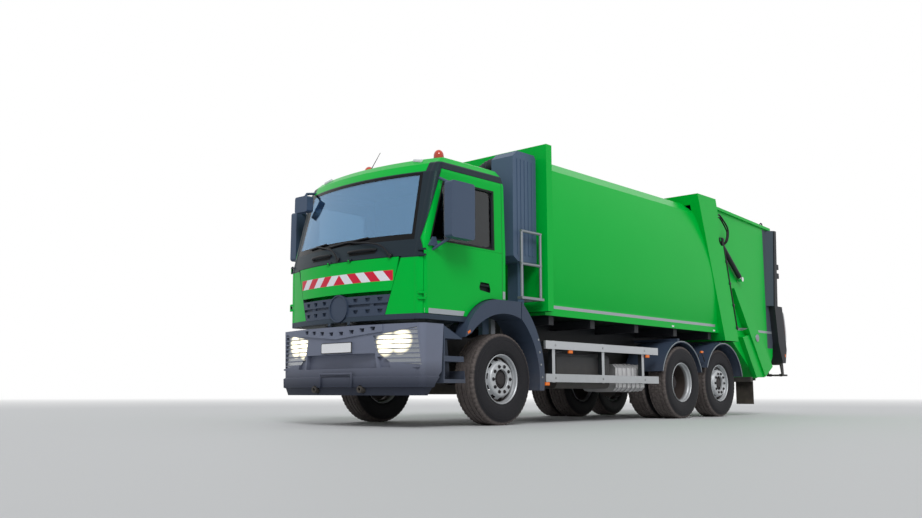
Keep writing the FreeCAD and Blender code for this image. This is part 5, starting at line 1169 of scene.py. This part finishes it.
# Rear lamps. Moulded red, amber and clear lenses let into the rear faces of the corner housings, under
# slanted red and white film.
lens_red = coated("lens_red", "#B10E18", 0.15, coat=1.0, dirt_most=0.1, spread=0.15)
for side, hand in SIDES:
    for label, finish, z0, z1 in (("stop", lens_red, 1500, 1620), ("turn", marker_amber, 1380, 1490),
                                  ("tail", lens_red, 1260, 1370), ("reverse", marker_clear, 1170, 1250)):
        lens = oblong(1050 * side, 1210 * side, z0, z1)
        laid(f"lens_{label}_{hand}", [lens], "rear", "tail_lamps", 4.0, "tailgate", finish)
    marker = oblong(-4600, -4530, 1010, 1060)
    laid(f"corner_marker_{hand}", [marker], hand, "tail_lamps", 3.0, "tailgate", marker_amber)
    # Bars 160 mm high that rise by 60 mm towards the side, white and red in turn
    bars = [[(1030 * side, z), (1230 * side, z + 60), (1230 * side, z + 220), (1030 * side, z + 160)]
            for z in range(1920, 3200, 160)]
    for label, quads, finish in (("red", bars[1::2], red_film), ("white", bars[::2], white_film)):
        laid(f"post_stripes_{label}_{hand}", quads, "rear", "tail_lamps", 2.0, "tailgate",
             finish)


# Bolts. Zinc-plated hexagon heads on their washers, where the side guards' rails and the front wings' rear
# halves are bolted to their stays.
bolt_tree, bolt_inputs, given = node_group("bolt_row", {
    "Count": "Int", "Start": "Vector", "Step": "Vector", "Turn": "Vector", "Head": "Float",
    "Finish": "Material"})
row = add(bolt_tree, "GeometryNodeMeshLine",
          {"Count": given["Count"], "Start Location": given["Start"], "Offset": given["Step"]})
# Against a head's radius, it is 0.9 tall, and its washer 1.5 wide and 0.3 thick
tall = add(bolt_tree, "ShaderNodeMath", {"operation": "MULTIPLY", 0: given["Head"], 1: 0.9})
flat = add(bolt_tree, "ShaderNodeMath", {"operation": "MULTIPLY", 0: given["Head"], 1: 0.3})
wide = add(bolt_tree, "ShaderNodeMath", {"operation": "MULTIPLY", 0: given["Head"], 1: 1.5})
head = add(bolt_tree, "GeometryNodeMeshCylinder", {"Vertices": 6, "Radius": given["Head"], "Depth": tall})
washer = add(bolt_tree, "GeometryNodeMeshCylinder", {"Vertices": 16, "Radius": wide, "Depth": flat})
joined = add(bolt_tree, "GeometryNodeJoinGeometry", {"Geometry": head})
bolt_tree.links.new(washer.outputs["Mesh"], joined.inputs["Geometry"])
placed = add(bolt_tree, "GeometryNodeInstanceOnPoints",
             {"Points": row, "Instance": joined, "Rotation": given["Turn"]})
real = add(bolt_tree, "GeometryNodeRealizeInstances", {"Geometry": placed})
coat_it = add(bolt_tree, "GeometryNodeSetMaterial", {"Geometry": real, "Material": given["Finish"]})
add(bolt_tree, "NodeGroupOutput", {"Geometry": coat_it})
zinc = coated("zinc_plate", "#9DA1A3", 0.4, metallic=0.9, dirt_most=0.5)
for label, count, (x, y, z), step, head_mm in (("rail_guard", 3, (2300, 1222, 555), (-1050, 0, 0), 11),
                                               ("rail_upper", 3, (2300, 1222, 960), (-1050, 0, 0), 11),
                                               ("wing", 4, (2650, 1226, 1010), (-24, 0, -150), 9)):
    for side, hand in SIDES:
        values = {"Count": count, "Start": spot(x, y * side, z), "Step": Vector(step) / 1000,
                  "Turn": Vector((math.radians(90), 0, 0)), "Head": head_mm / 1000, "Finish": zinc}
        grown(f"bolts_{label}_{hand}", bolt_tree, bolt_inputs, values, "chassis")
